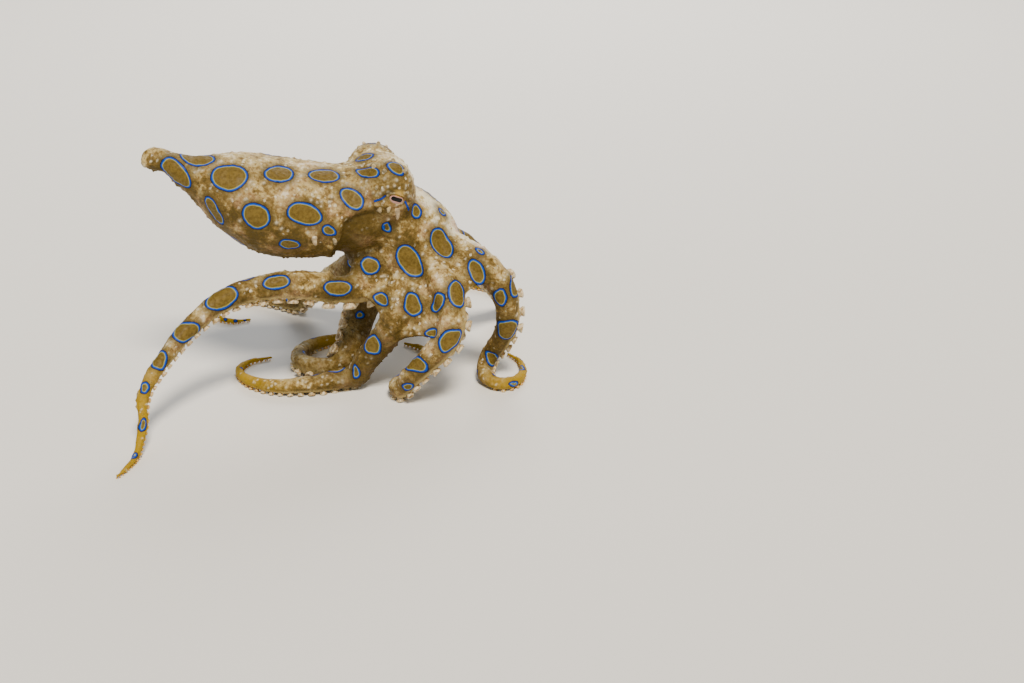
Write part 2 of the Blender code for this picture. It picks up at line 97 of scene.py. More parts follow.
def addLoft(bm, matrices, sides):
    # a closed skin through unit circles
    loops = []
    for matrix in matrices:
        made = bmesh.ops.create_circle(bm, segments=sides, radius=1.0, matrix=matrix)
        loops.append(list({edge for vert in made["verts"] for edge in vert.link_edges}))
    for here, following in zip(loops, loops[1:]):
        bmesh.ops.bridge_loops(bm, edges=here + following)
    bmesh.ops.holes_fill(bm, edges=loops[0] + loops[-1], sides=0)


def linkObject(name, data):
    made = bpy.data.objects.new(name, data)
    bpy.context.scene.collection.objects.link(made)
    return made


def smoothObject(name, bm):
    mesh = bpy.data.meshes.new(name)
    bm.to_mesh(mesh)
    bm.free()
    mesh.shade_smooth()
    return linkObject(name, mesh)


def closedObject(name, bm):
    # with all faces turned out
    bmesh.ops.recalc_face_normals(bm, faces=bm.faces)
    if bm.calc_volume(signed=True) < 0:
        bmesh.ops.reverse_faces(bm, faces=bm.faces)
    return smoothObject(name, bm)


def applyModifiers(piece):
    graph = bpy.context.evaluated_depsgraph_get()
    finished = bpy.data.meshes.new_from_object(piece.evaluated_get(graph))
    piece.modifiers.clear()
    old = piece.data
    piece.data = finished
    bpy.data.meshes.remove(old)
    finished.name = piece.name


def onSide(side, middle, out):
    # side is -1 for the right, 1 for the left
    return middle + left * (side * out)


def valuesOf(piece, what):
    # "co" gives the piece's points and "normal" their normals
    flat = np.empty(len(piece.data.vertices) * 3)
    piece.data.vertices.foreach_get(what, flat)
    return flat.reshape(-1, 3)


def movePoints(piece, points):
    piece.data.vertices.foreach_set("co", points.ravel())
    piece.data.update()


def setAttribute(piece, name, values):
    made = piece.data.attributes.new(name, "FLOAT", "POINT")
    made.data.foreach_set("value", np.asarray(values, dtype=np.float32))


def smoothStep(low, high, value):
    share = np.clip((value - low) / (high - low), 0.0, 1.0)
    return share * share * (3 - 2 * share)


def nearTree(spots):
    # finds the nearest of many places
    tree = KDTree(len(spots))
    for i, spot in enumerate(spots):
        tree.insert(spot, i)
    tree.balance()
    return tree


def lineGap(points, start, end):
    # mm from the straight line between two places
    first = np.array(start)
    line = np.array(end) - first
    share = np.clip((points - first) @ line / (line @ line), 0, 1)
    return np.linalg.norm(points - first - np.outer(share, line), axis=1) / mm


arms = {
    "rootRadius": 3.0,
    "tipRadius": 0.32,
    "sides": 20,
    "step": 0.8,  # mm between two sections
    "bendReach": 0.8,  # on both sides of a point, to find which way the arm runs there
    "restShare": 0.9,  # of its depth that a lying arm has above the floor
    "landing": 0.8,  # how softly an arm comes down to the floor
    "suckerStand": 0.36,  # how far the suckers stand out, in arm radii
    "unseen": ("left1", "left2", "left3"),  # hidden in the photo
    "plans": {
        # angle round the mouth from the front, points passed, of which those at -2 come to lie on the floor,
        # and where the suckers face by share of length
        "right1": (-25, (
            (27.0, -4.6, 21.6), (31.0, -6.0, 17.2), (31.8, -6.0, 11.4), (30.6, -4.6, 7.4),
            (28.9, -3.4, 4.2), (27.8, -4.4, 1.8), (28.0, -7.4, -2), (30.4, -9.8, -2),
            (33.2, -8.4, -2), (34.4, -4.2, -2), (33.8, 0.6, -2), (31.6, 4.0, -2),
        ), ((0.16, (0, 0.7, -0.7)), (0.3, (0.8, 0.8, 0.1)), (0.42, (1, 0.1, 0)), (0.6, (0.8, 0.5, -0.4)),
            (0.75, (0, 0, -1)))),
        "right2": (-68, (
            (22.0, -11.0, 17.6), (22.2, -14.2, 12.8), (18.6, -15.2, 8.4), (14.8, -14.4, 3.9),
            (12.8, -11.6, -2), (14.6, -7.4, -2), (17.0, -2.8, -2), (17.6, 2.2, -2), (16.0, 6.2, -2),
            (12.8, 8.4, -2),
        ), ((0.25, (1, 0.3, -0.3)), (0.4, (0.6, 0.2, -0.8)), (0.6, (0, 0, -1)))),
        "right3": (-112, (
            (13.6, -9.4, 15.6), (11.8, -9.8, 11.4), (9.0, -9.4, 7.4), (6.6, -9.0, 3.6),
            (3.6, -9.4, -2), (-0.8, -10.8, -2), (-5.4, -11.4, -2), (-9.8, -10.4, -2),
            (-13.4, -7.6, -2), (-15.2, -3.6, -2), (-13.8, 0.4, -2), (-10.2, 2.4, -2),
        ), ((0.3, (-0.3, 0.8, -0.5)), (0.55, (0, 0, -1)))),
        "right4": (-155, (
            (7.4, -5.8, 17.9), (3.0, -8.4, 18.6), (-6.0, -11.0, 20.2), (-14.4, -13.8, 19.0),
            (-20.4, -18.0, 15.4), (-24.4, -22.8, 11.4), (-26.7, -27.0, 7.8), (-26.5, -30.4, 4.3),
            (-26.8, -33.6, 1.4), (-27.6, -37.2, -2), (-28.9, -40.8, -2),
        ), ((0.2, (0.1, 0.2, -1)), (0.55, (0.5, 0.3, -0.8)), (0.8, (0.2, 0.2, -1)), (0.85, (0, 0, -1)))),
        "left1": (25, (
            (23.2, 8.2, 19.6), (26.6, 12.0, 14.6), (29.2, 16.2, 9.6), (31.0, 20.4, 4.8),
            (31.8, 24.8, -2), (30.8, 30.2, -2), (27.0, 33.6, -2), (22.4, 35.4, -2),
            (17.6, 36.0, -2), (13.2, 34.6, -2),
        ), ((0.3, (-0.5, -0.4, -0.8)), (0.55, (0, 0, -1)))),
        "left2": (68, (
            (15.6, 12.4, 19.6), (15.2, 17.6, 15.0), (14.2, 22.2, 9.8), (12.6, 26.4, 5.0),
            (10.6, 30.6, -2), (7.0, 34.0, -2), (2.4, 35.8, -2), (-2.6, 36.0, -2),
            (-7.4, 35.0, -2), (-11.6, 32.6, -2),
        ), ((0.3, (0, -0.6, -0.8)), (0.55, (0, 0, -1)))),
        "left3": (112, (
            (8.2, 10.6, 17.0), (3.6, 14.8, 13.2), (-1.2, 18.4, 8.8), (-5.8, 21.4, 4.6),
            (-10.4, 24.4, -2), (-15.4, 26.6, -2), (-20.0, 26.8, -2), (-23.2, 24.0, -2),
            (-23.0, 20.0, -2), (-19.8, 17.8, -2), (-16.2, 18.8, -2),
        ), ((0.3, (0.5, -0.5, -0.8)), (0.55, (0, 0, -1)))),
        "left4": (155, (
            (8.0, 2.2, 13.8), (6.2, 0.6, 9.6), (4.8, -1.8, 5.6), (3.0, -4.2, 2.6),
            (-0.2, -5.0, -2), (-3.6, -3.4, -2), (-5.2, 0.4, -2), (-4.0, 4.6, -2),
            (-0.6, 8.0, -2), (4.0, 9.8, -2), (8.6, 11.2, -2), (12.8, 13.6, -2),
        ), ((0.25, (-0.9, -0.3, -0.2)), (0.45, (-0.8, -0.4, -0.5)), (0.6, (0, 0, -1)))),
    },
}


class Arm:
    # an arm's centre line, thickness and the side of its suckers, by millimetres from its root
    def __init__(self, name):
        angle, points, faces = arms["plans"][name]
        self.name = name
        self.unseen = name in arms["unseen"]
        turn = math.radians(angle)
        out = ringFront * math.cos(turn) + ringLeft * math.sin(turn)
        root = body["ringCentre"] + out * body["ringRadius"]
        self.path = smoothPath([root] + [Vector(point) for point in points])
        self.faces = [(0.0, mouthAxis), *((share, Vector(way).normalized()) for share, way in faces)]
        self.faces.append((1.0, self.faces[-1][1]))
        self.runs = [0.0]
        for here, following in zip(self.path, self.path[1:]):
            self.runs.append(self.runs[-1] + (following - here).length)
        self.length = self.runs[-1]

    def radius(self, run):
        return arms["rootRadius"] + (arms["tipRadius"] - arms["rootRadius"]) * min(run / self.length, 1.0)

    def facing(self, run):
        share = run / self.length
        for (low, first), (high, second) in zip(self.faces, self.faces[1:]):
            if share <= high:
                break
        return first.lerp(second, min(max(share - low, 0.0) / (high - low), 1.0))

    def at(self, run):
        # lifted off the floor by the arm's own thickness
        run = min(max(run, 0.0), self.length)
        last = int(np.searchsorted(self.runs, run, side="right")) - 1
        last = min(max(last, 0), len(self.path) - 2)
        share = (run - self.runs[last]) / (self.runs[last + 1] - self.runs[last])
        point = self.path[last].lerp(self.path[last + 1], share)
        below = self.radius(run) * (1 + arms["suckerStand"] * max(0.0, -self.facing(run).z))
        above = point.z - below * arms["restShare"]
        point.z += (math.hypot(above, arms["landing"]) - above) / 2
        return point

    def frameAt(self, run):
        # along, towards the suckers, and across
        along = (self.at(run + arms["bendReach"]) - self.at(run - arms["bendReach"])).normalized()
        side = self.facing(run)
        side = (side - along * side.dot(along)).normalized()
        return along, side, along.cross(side)


armList = [Arm(name) for name in arms["plans"]]
armList.sort(key=lambda arm: arms["plans"][arm.name][0])

web = {
    # how far each sector reaches along its arms, and the share by which its edge draws back in the middle
    "edge": (12.0, 0.25),
    "lowEdges": {"right3": (17.5, 0.08), "right2": (15.5, 0.2)},  # of the sector after that arm
    "bulge": 1.0,
    "thickness": 1.3,
    "across": 14,
    "along": 12,
}


def addWeb(bm, first, second):
    # the sheet between two arms, its edge drawn back in the middle
    reach, scallop = web["lowEdges"].get(first.name, web["edge"])
    sheet = bmesh.new()
    bmesh.ops.create_grid(sheet, x_segments=web["across"], y_segments=web["along"], size=0.5)
    for vert in sheet.verts:
        across = vert.co.x + 0.5
        middle = 4 * across * (1 - across)
        run = (vert.co.y + 0.5) * reach * (1 - scallop * middle)
        point = first.at(run).lerp(second.at(run), across) - mouthAxis * (web["bulge"] * middle)
        vert.co = toFrame(point)
    bmesh.ops.triangulate(sheet, faces=sheet.faces)
    bmesh.ops.recalc_face_normals(sheet, faces=sheet.faces)
    for vert in sheet.verts:
        vert.co -= vert.normal * (web["thickness"] / 2 * mm)
    bmesh.ops.solidify(sheet, geom=sheet.faces[:], thickness=-web["thickness"] * mm)
    whole = bpy.data.meshes.new("sheet")
    sheet.to_mesh(whole)
    sheet.free()
    bm.from_mesh(whole)
    bpy.data.meshes.remove(whole)


mantle = {
    # centre and half height of each section, from the pointed end to the neck
    "sections": (
        ((-27.5, -9.1, 41.5), 0.7), ((-27.1, -9.0, 41.6), 1.2), ((-26.1, -8.8, 41.5), 1.65),
        ((-24.6, -8.4, 41.2), 1.8), ((-22.0, -7.9, 39.4), 2.6), ((-19.8, -7.4, 37.8), 3.5),
        ((-16.4, -6.7, 35.5), 5.7), ((-12.3, -5.8, 33.6), 7.5), ((-7.8, -4.8, 32.0), 8.25),
        ((-2.2, -3.6, 30.9), 8.1), ((2.8, -2.5, 30.4), 7.6), ((6.4, -1.6, 30.7), 7.5),
        ((10.4, -0.8, 31.2), 7.0),
    ),
    "samples": 5,  # between two sections
    "along": Vector((0.97, 0.21, -0.10)),
    "middle": Vector((-2.2, -3.6, 30.9)),
    "width": 1.08,  # half width over half height
    "sides": 48,
}
mantleAcross = mantle["along"].cross(up).normalized()

head = {
    # centre, axis, half sizes forward, across and along the axis
    "ovals": (
        ((9.8, -0.2, 30.6), up, (6.3, 7.0, 7.0)),
        ((13.0, 0.4, 26.6), mouthAxis, (6.1, 8.0, 8.2)),
        ((10.2, -0.2, 34.0), up, (5.7, 7.3, 5.5)),
        ((16.6, 1.3, 27.0), forward - up, (4.7, 6.6, 9.0)),
        ((8.4, -4.4, 21.0), up, (3.6, 3.0, 3.4)),
    ),
    "moundCentre": Vector((10.3, -0.2, 34.2)),
    "moundOut": 4.8,  # from the middle plane
    "moundHalf": (4.8, 4.4, 5.5),
    "ringHalf": (7.2, 7.9, 5.9),
    "ringAbove": 2.0,  # the middle of that oval over the ring's centre
    "funnelPath": (Vector((9.0, -1.0, 25.8)), Vector((6.6, -2.2, 23.6)), Vector((4.2, -3.2, 21.8))),
    "funnelRadii": (2.7, 2.1, 1.3),
    "funnelSides": 20,
    "funnelSamples": 8,
    "mouthBelow": 3.8,  # from the ring's centre along the way to the mouth
    "mouthReach": (3.0, 0.3),  # how far up or down it goes, and how squarely the skin faces its way
    "lips": (1.7, 0.45, 0.55),  # radius, softness and rise
    "beakPit": (0.54, 1.08),  # radius of its floor and of its rim
    "pitDepth": 1.6,
}


def makeForms():
    # every form of the flesh, still overlapping
    bm = bmesh.new()
    centres = smoothPath([Vector(centre) for centre, _ in mantle["sections"]], mantle["samples"])
    halves = smoothPath([Vector((half, 0, 0)) for _, half in mantle["sections"]], mantle["samples"])
    sections = []
    for centre, half in zip(centres, halves):
        sizes = (half.x * mantle["width"], half.x, 1.0)
        sections.append(placed(centre, mantle["along"], mantle["along"].cross(up), sizes))
    addLoft(bm, sections, mantle["sides"])
    for centre, along, halfSizes in head["ovals"]:
        addOval(bm, Vector(centre), along, forward, halfSizes)
    for side in (-1, 1):
        addOval(bm, onSide(side, head["moundCentre"], head["moundOut"]), up, forward, head["moundHalf"])
    addOval(bm, body["ringCentre"] - mouthAxis * head["ringAbove"], mouthAxis, forward, head["ringHalf"])
    path = smoothPath(head["funnelPath"], head["funnelSamples"])
    sections = []
    for i, point in enumerate(path):
        way = path[min(i + 1, len(path) - 1)] - path[max(i - 1, 0)]
        radius = float(np.interp(i / (len(path) - 1), (0, 0.5, 1), head["funnelRadii"]))
        sections.append(placed(point, way, left, (radius, radius, 1.0)))
    addLoft(bm, sections, head["funnelSides"])
    for arm in armList:
        count = round(arm.length / arms["step"])
        sections = []
        for i in range(count + 1):
            run = arm.length * i / count
            along, side, _ = arm.frameAt(run)
            radius = arm.radius(run)
            sections.append(placed(arm.at(run), along, side, (radius, radius, 1.0)))
        addLoft(bm, sections, arms["sides"])
    for first, second in zip(armList, armList[1:] + armList[:1]):
        addWeb(bm, first, second)
    return closedObject("octopusSkin", bm)


skin = {
    "voxel": 0.34,
    "smoothings": 6,
    "headSmoothings": 26,
    "headMiddle": 0.45,  # as a share of the way from the ring of arms to between the eyes
    "headReach": (9.0, 15.0),  # from there, how far the forms melt together and where that ends
    "blendSteps": 10,
    # warts: how many, their radii and heights, how much smaller and lower they are past which share of an
    # arm, and within how many mm of a ring they keep which share of their height
    "warts": 3200,
    "wartRadius": (0.2, 0.5),
    "wartHeight": (0.05, 0.27),
    "armWart": (0.5, (0.7, 0.5)),
    "ringWart": (0.5, 0.4),
    "wartShape": (2.2, 1.6),  # how far it goes out in radii, and how steeply it falls
    "whiteWarts": (0.25, 0.5),  # share of them on the sides, and how much more on top
    "fold": (2.2, 0.15),  # size and height
    "foldNoise": (0.8, 2.1, 4),  # roughness, steps of size and their number
    "armCalm": (0.3, 0.9, 0.7),  # shares of an arm between which its folds fade, and by how much
    "tail": (-25.0, -28.5),  # along X, where the rough end of the mantle begins and is full
    "tailRoughness": (2.2, 0.88),  # how much more of folds and of warts
    # share of the arm's length from where to where an arm in the shade gets dark with painted shade and pale
    # again
    "paintedShadeArms": {
        "right3": (0.1, 0.24, 0.45, 0.6), "left4": (0.0, 0.1, 0.45, 0.6), "left3": (0.0, 0.05, 0.2, 0.35),
    },
    "armReach": 1.9,  # arm radii from its middle that count as the arm
    "armSamples": 120,
    # skin along the brow that faces forward is paler and pinker: partly the skin's own pale crown, partly
    # painted light from the front
    "paleSlope": (Vector((16.0, 1.6, 35.0)), Vector((25.5, -1.0, 21.5))),  # from the brow to the front arms
    "paleReach": (3.0, 8.0),  # from that line, where the skin is pale and no more so
    "paleWay": forward + up * 0.3,
    "paleFacing": (0.05, 0.6),  # how squarely it faces that way
    "lift": 0.03,  # over the floor
    "seed": 23,
}


def meltForms(piece):
    # one closed skin, its joins softened, most of all round the head
    remesh = piece.modifiers.new("oneSkin", "REMESH")
    remesh.mode = "VOXEL"
    remesh.voxel_size = skin["voxel"] * mm
    applyModifiers(piece)
    middle = np.array(toFrame(body["ringCentre"].lerp(head["moundCentre"], skin["headMiddle"])))
    away = np.linalg.norm(valuesOf(piece, "co") - middle, axis=1) / mm
    weights = 1 - smoothStep(*skin["headReach"], away)
    group = piece.vertex_groups.new(name="headBlend")
    steps = skin["blendSteps"]
    for step in range(1, steps + 1):
        chosen = np.nonzero((weights > (step - 1) / steps) & (weights <= step / steps))[0]
        if len(chosen):
            group.add(chosen.tolist(), step / steps, "REPLACE")
    for setting, only in (("headSmoothings", group.name), ("smoothings", "")):
        smooth = piece.modifiers.new(setting, "SMOOTH")
        smooth.factor = 0.5
        smooth.iterations = skin[setting]
        smooth.vertex_group = only
    applyModifiers(piece)
    piece.vertex_groups.clear()
    print("skin has", len(piece.data.vertices), "points")


eye = {
    "centre": Vector((10.9, 0.0, 34.3)),
    "out": 6.7,  # from the middle plane
    "radius": 2.2,
    "tilt": math.radians(-22.0),  # of the lids and the pupil, the front end lower
    "opening": (1.16, 0.7),  # half width and half height between the lids
    "lid": (1.22, 0.26, 0.3),  # place and softness of the lids' rise, in openings, and its height
    "lidWrap": (1.1, 2.4),  # in openings, where the skin is level with the ball's front, and no more so
    "pit": (0.86, 1.06, 3.0),  # in openings, its floor and its rim, and its depth in mm
    "sunk": 0.25,  # how far the lids' skin stays behind the ball's front
    "deepest": -0.8,  # skin further in than this isn't at the eye
    "goldLid": ((0.1, 1.15), (0.95, 0.5), (0.4, 1.4)),  # middle, half sizes and fade
    "fineReach": 4.0,  # from the ball's front, how far the skin has smaller faces
    "facets": (48, 32),
}


def eyeAxes(side):
    # the eye's middle, the way along its slit, up it and out of the head
    out = left * side
    across = forward * math.cos(eye["tilt"]) + up * math.sin(eye["tilt"])
    upwards = up * math.cos(eye["tilt"]) - forward * math.sin(eye["tilt"])
    return onSide(side, eye["centre"], eye["out"]), across, upwards, out


def eyeFront(side):
    return toFrame(onSide(side, eye["centre"], eye["out"] + eye["radius"]))


def refineEyes(piece):
    # smaller faces where the lids are modelled
    bm = bmesh.new()
    bm.from_mesh(piece.data)
    near = set()
    for side in (-1, 1):
        front = eyeFront(side)
        near |= {edge for edge in bm.edges if (edge.verts[0].co - front).length < eye["fineReach"] * mm}
    bmesh.ops.subdivide_edges(bm, edges=list(near), cuts=1, use_grid_fill=True)
    bmesh.ops.triangulate(bm, faces=[face for face in bm.faces if len(face.verts) > 4])
    bm.to_mesh(piece.data)
    bm.free()


# The camera's view of the animal also places the markings that the photo shows.
photo = {
    "width": 1024, "height": 683, "lens": 60.0, "sensor": 36.0, "elevation": math.radians(25.0),
    "distance": 300.0, "target": Vector((32.5, 0.0, 4.7)),
}
viewBack = Vector((0.0, -math.cos(photo["elevation"]), math.sin(photo["elevation"])))
viewRight = Vector((1.0, 0.0, 0.0))
viewUp = viewRight.cross(-viewBack)
viewPoint = photo["target"] + viewBack * photo["distance"]
pixelSlope = photo["sensor"] / photo["lens"] / photo["width"]


def onSkin(tree, pixel):
    # where a pixel of the photo meets the skin, and the skin's normal there
    aside = (pixel[0] - photo["width"] / 2) * pixelSlope
    below = (pixel[1] - photo["height"] / 2) * pixelSlope
    way = (-viewBack + viewRight * aside - viewUp * below).normalized()
    return tree.ray_cast(toFrame(viewPoint), way)[:2]


markings = {
    # rings in view: pixel across and down, width and height in pixels, turn in degrees clockwise
    "seen": (
        (176, 173, 36, 19, 47), (197, 158, 35, 15, 6), (229.4, 176.5, 37, 27.5, -6), (214, 211, 30, 11, 60),
        (256, 216.4, 29, 25, 40), (279.3, 173.4, 28, 19, 8), (304.6, 214, 36, 22, 14),
        (289.4, 244.3, 22, 9, 0), (324.4, 175.4, 30, 15, 6), (352, 198.4, 27, 19, 38),
        (328.7, 230.5, 14, 11, 10), (364, 157, 20, 9, -12), (416, 211.5, 11, 15, -10),
        (386.4, 227, 8, 10.5, 25), (440, 243.4, 20, 32, -24), (409.4, 260.6, 23, 33, -28),
        (370.3, 265.8, 20, 19, 0), (476.5, 272, 17, 26, -24), (458, 293, 16, 28, -16),
        (412.8, 304.6, 19, 24, 0), (437.2, 302.8, 10, 22, 10), (338.2, 288, 27, 18, 0),
        (382, 299.4, 19, 13, 20), (499.8, 297.4, 14, 17, 0), (514.7, 286.5, 9, 24, -10),
        (507.5, 330.4, 24, 19, 0), (492.6, 358.8, 14, 14, 0),
        (450, 340.4, 27, 20, -48), (432, 333, 15, 10, -20), (414.2, 364, 21, 16, -20), (408, 387, 12, 8, 0),
        (276.5, 282, 28, 15, -10), (221.4, 297.4, 33, 23, -25), (186.6, 331.8, 27, 20, -35),
        (158.8, 360, 18, 18, 0), (144.4, 387.5, 9, 12, 20), (143, 425, 7, 13, 10), (134, 456, 5, 8, 30),
        (360, 315, 9, 9, 0), (372, 345, 17, 22, 10), (356, 372, 9, 14, 0),
        (396.5, 167.5, 20, 12, 42), (367.3, 171.7, 21, 12, -3), (442, 212, 10, 6, 50),
        (480, 251, 12, 5, 40), (521, 368, 7, 8, 0), (514, 384, 9, 6, 0),
    ),
    # short blue strokes beside the eye, from pixel to pixel
    "strokes": (((375, 201), (386, 197)), ((405, 202), (408, 210)), ((384, 226), (384.2, 229))),
    "reach": (1.5, 3.2),  # how far a ring has effect: of its size, and mm more
    "sameSide": -0.3,  # and on skin that faces its way more than this
    "wobble": (0.035, 0.025, 0.012),  # of two, three and five lobes
    "armWobble": (19, 2.2),  # below this height, how many times as much
    "leastFacing": 0.6,  # a ring on the silhouette isn't stretched past this
    "grazing": 0.12,  # skin that faces the camera less than this counts as hidden
    "clear": 0.3,  # mm off the skin, where the view to the camera is tried
    "depth": 1.4,  # half sizes deep that count as one half size out
    "apart": (0.92, 1.1),  # least distance between two rings: of their sizes, and mm more
    "mostBend": 0.34,  # of its half size that an unseen ring's edge may leave the skin
    "eyeClear": 1.3,
    # mirrored rings: their least height, how far they may be from the skin, size, flatness, and the share
    # of the size that has to lie flat
    "mirrorAbove": 22,
    "mirrorReach": 2.5,
    "mirrorSize": (0.85, 1.0),
    "mirrorFlat": (0.62, 0.9),
    "mirrorFits": 0.9,
    # rings along the arms: first place and last from the tip, spacing and size in arm radii and their
    # least in mm, flatness, degrees from the back, and where the skin is sought and how it has to face
    "armEnds": (5.0, 1.0),
    "armSpacing": (1.15, 0.9),
    "armSize": (0.86, 0.34),
    "armVaries": (0.85, 1.05),
    "armFlat": (0.68, 0.92),
    "armLean": (38, 74),
    "armSought": (1.8, 0.3),
    # rings on the rest of the hidden body: places tried, the lowest, hindmost and most downward ones,
    # size and flatness
    "tries": 6000,
    "hiddenAbove": 24,
    "hiddenAhead": -20,
    "hiddenFacing": -0.75,
    "hiddenRadius": (1.5, 2.7),
    "hiddenFlat": (0.6, 0.9),
    "seed": 5,
}


def mirrored(point):
    # the same place on the body's other side
    plan = point / mm + body["footprintCentre"]
    onHead = plan.x > edgeFold["edge"]
    across = left if onHead else mantleAcross
    middle = head["moundCentre"] if onHead else mantle["middle"]
    return toFrame(plan - across * (2 * (plan - middle).dot(across)))


class Ring:
    # an oval on the skin: rows turn a shift in the skin's plane to the oval's own units
    def __init__(self, centre, normal, rows, size, draw):
        self.centre = np.array(centre)
        self.normal = np.array(normal)
        self.rows = rows
        self.size = size  # largest half size, mm
        self.phases = [draw.uniform(0, 6.28) for _ in range(3)]
        height, more = markings["armWobble"]
        self.uneven = more if centre[2] / mm < height else 1.0


def seenRing(tree, spot, draw):
    across, down, width, height, turn = spot
    centre, normal = onSkin(tree, (across, down))
    if centre is None:
        return None
    mmPerPixel = (centre - toFrame(viewPoint)).length / mm * pixelSlope
    halves = (width / 2 * mmPerPixel, height / 2 * mmPerPixel)
    turn = math.radians(turn)
    first = viewRight * math.cos(turn) - viewUp * math.sin(turn)
    second = viewRight * math.sin(turn) + viewUp * math.cos(turn)
    facing = normal.dot(viewBack)
    if facing < markings["leastFacing"]:
        # lean the skin's plane back towards the view, so that the oval isn't stretched too far
        normal = (normal + viewBack * (markings["leastFacing"] - facing)).normalized()
    rows = np.array((first / halves[0], second / halves[1]))
    return Ring(centre, normal, rows, max(halves) / normal.dot(viewBack), draw)


def flatRing(centre, normal, along, halves, draw):
    first = (along - normal * along.dot(normal)).normalized()
    second = normal.cross(first)
    return Ring(centre, normal, np.array((first / halves[0], second / halves[1])), max(halves), draw)


def ringGap(ring, points, normals):
    # mm from the ring's line, less than 0 inside it
    gap = np.full(len(points), far)
    shift = (points - ring.centre) / mm
    share, more = markings["reach"]
    near = np.linalg.norm(shift, axis=1) < ring.size * share + more
    near &= normals @ ring.normal > markings["sameSide"]
    shift = shift[near]
    deep = shift @ ring.normal
    flat = shift - np.outer(deep, ring.normal)
    places = flat @ ring.rows.T
    angle = np.arctan2(places[:, 1], places[:, 0])
    wobble = 1.0
    for lobes, size, phase in zip((2, 3, 5), markings["wobble"], ring.phases):
        wobble = wobble + size * ring.uneven * np.sin(lobes * angle + phase)
    # deep places count as further out, so the oval closes where the skin bends away
    reach = np.hypot(np.linalg.norm(places, axis=1), deep / (ring.size * markings["depth"])) * wobble
    length = np.linalg.norm(shift, axis=1)
    tiny = 0.001  # keeps the middle finite
    gap[near] = length - (length + tiny) / (reach + tiny / ring.size)
    return gap


def hidden(tree, spot, normal):
    # whether the photo doesn't show this place
    if normal.dot(viewBack) < markings["grazing"]:
        return True
    start = spot + normal * (markings["clear"] * mm)
    return tree.ray_cast(start, viewBack)[0] is not None


def flatHere(tree, spot, normal, along, size):
    # whether the skin stays near the plane of a ring, and clear of the eyes
    first = (along - normal * along.dot(normal)).normalized() * (size * mm)
    second = normal.cross(first)
    for way in (first, second, -first, -second):
        if tree.find_nearest(spot + way)[3] > markings["mostBend"] * size * mm:
            return False
    return all((spot - eyeFront(side)).length / mm > size + markings["eyeClear"] for side in (-1, 1))


def isFree(rings, centre, size):
    # whether a ring of this size stays clear of the others
    share, more = markings["apart"]
    gaps = (((Vector(ring.centre) - centre).length / mm, ring.size + size) for ring in rings)
    return all(gap > sizes * share + more for gap, sizes in gaps)


def addMirroredRings(rings, tree, draw):
    for ring in list(rings):
        centre = mirrored(Vector(ring.centre))
        if centre.z / mm < markings["mirrorAbove"]:
            continue
        spot, normal, _, distance = tree.find_nearest(centre)
        size = ring.size * draw.uniform(*markings["mirrorSize"])
        fits = distance < markings["mirrorReach"] * mm and isFree(rings, spot, ring.size)
        fits = fits and flatHere(tree, spot, normal, mantle["along"], size * markings["mirrorFits"])
        if fits and hidden(tree, spot, normal):
            halves = (size, size * draw.uniform(*markings["mirrorFlat"]))
            rings.append(flatRing(spot, normal, mantle["along"], halves, draw))


def addArmRings(rings, tree, draw):
    # on the back and the sides of each arm by turns
    sizeShare, leastSize = markings["armSize"]
    spacing, leastSpacing = markings["armSpacing"]
    start, end = markings["armEnds"]
    off, facing = markings["armSought"]
    for arm in armList:
        run = start
        turn = 1
        while run < arm.length - end:
            along, side, across = arm.frameAt(run)
            radius = arm.radius(run)
            lean = math.radians(draw.uniform(*markings["armLean"])) * turn
            way = across * math.sin(lean) - side * math.cos(lean)
            spot, normal, _, _ = tree.find_nearest(toFrame(arm.at(run) + way * (radius * off)))
            size = max(sizeShare * radius, leastSize) * draw.uniform(*markings["armVaries"])
            unseen = arm.unseen or hidden(tree, spot, normal)
            if normal.dot(way) > facing and unseen and isFree(rings, spot, size):
                halves = (size, size * draw.uniform(*markings["armFlat"]))
                rings.append(flatRing(spot, normal, along, halves, draw))
            run += max(spacing * radius, leastSpacing)
            turn = -turn


def addHiddenRings(rings, tree, draw, points, normals):
    # wherever else the photo doesn't show the body
    for i in draw.sample(range(len(points)), markings["tries"]):
        spot = Vector(points[i])
        plan = spot / mm + body["footprintCentre"]
        size = draw.uniform(*markings["hiddenRadius"])
        low = plan.z < markings["hiddenAbove"] or plan.x < markings["hiddenAhead"]
        if low or not isFree(rings, spot, size):
            continue
        normal = Vector(normals[i])
        fits = flatHere(tree, spot, normal, mantle["along"], size)
        if normal.z > markings["hiddenFacing"] and hidden(tree, spot, normal) and fits:
            halves = (size, size * draw.uniform(*markings["hiddenFlat"]))
            rings.append(flatRing(spot, normal, mantle["along"], halves, draw))


def makeRings(tree, piece):
    draw = random.Random(markings["seed"])
    rings = [ring for ring in (seenRing(tree, spot, draw) for spot in markings["seen"]) if ring]
    print("rings in view", len(rings), "of", len(markings["seen"]))
    addMirroredRings(rings, tree, draw)
    addArmRings(rings, tree, draw)
    addHiddenRings(rings, tree, draw, valuesOf(piece, "co"), valuesOf(piece, "normal"))
    print("rings", len(rings))
    return rings


def strokeGap(tree, points):
    # mm from the short blue strokes
    gap = np.full(len(points), far)
    for pixels in markings["strokes"]:
        ends = [onSkin(tree, pixel)[0] for pixel in pixels]
        if None not in ends:
            gap = np.minimum(gap, lineGap(points, *ends))
    return gap


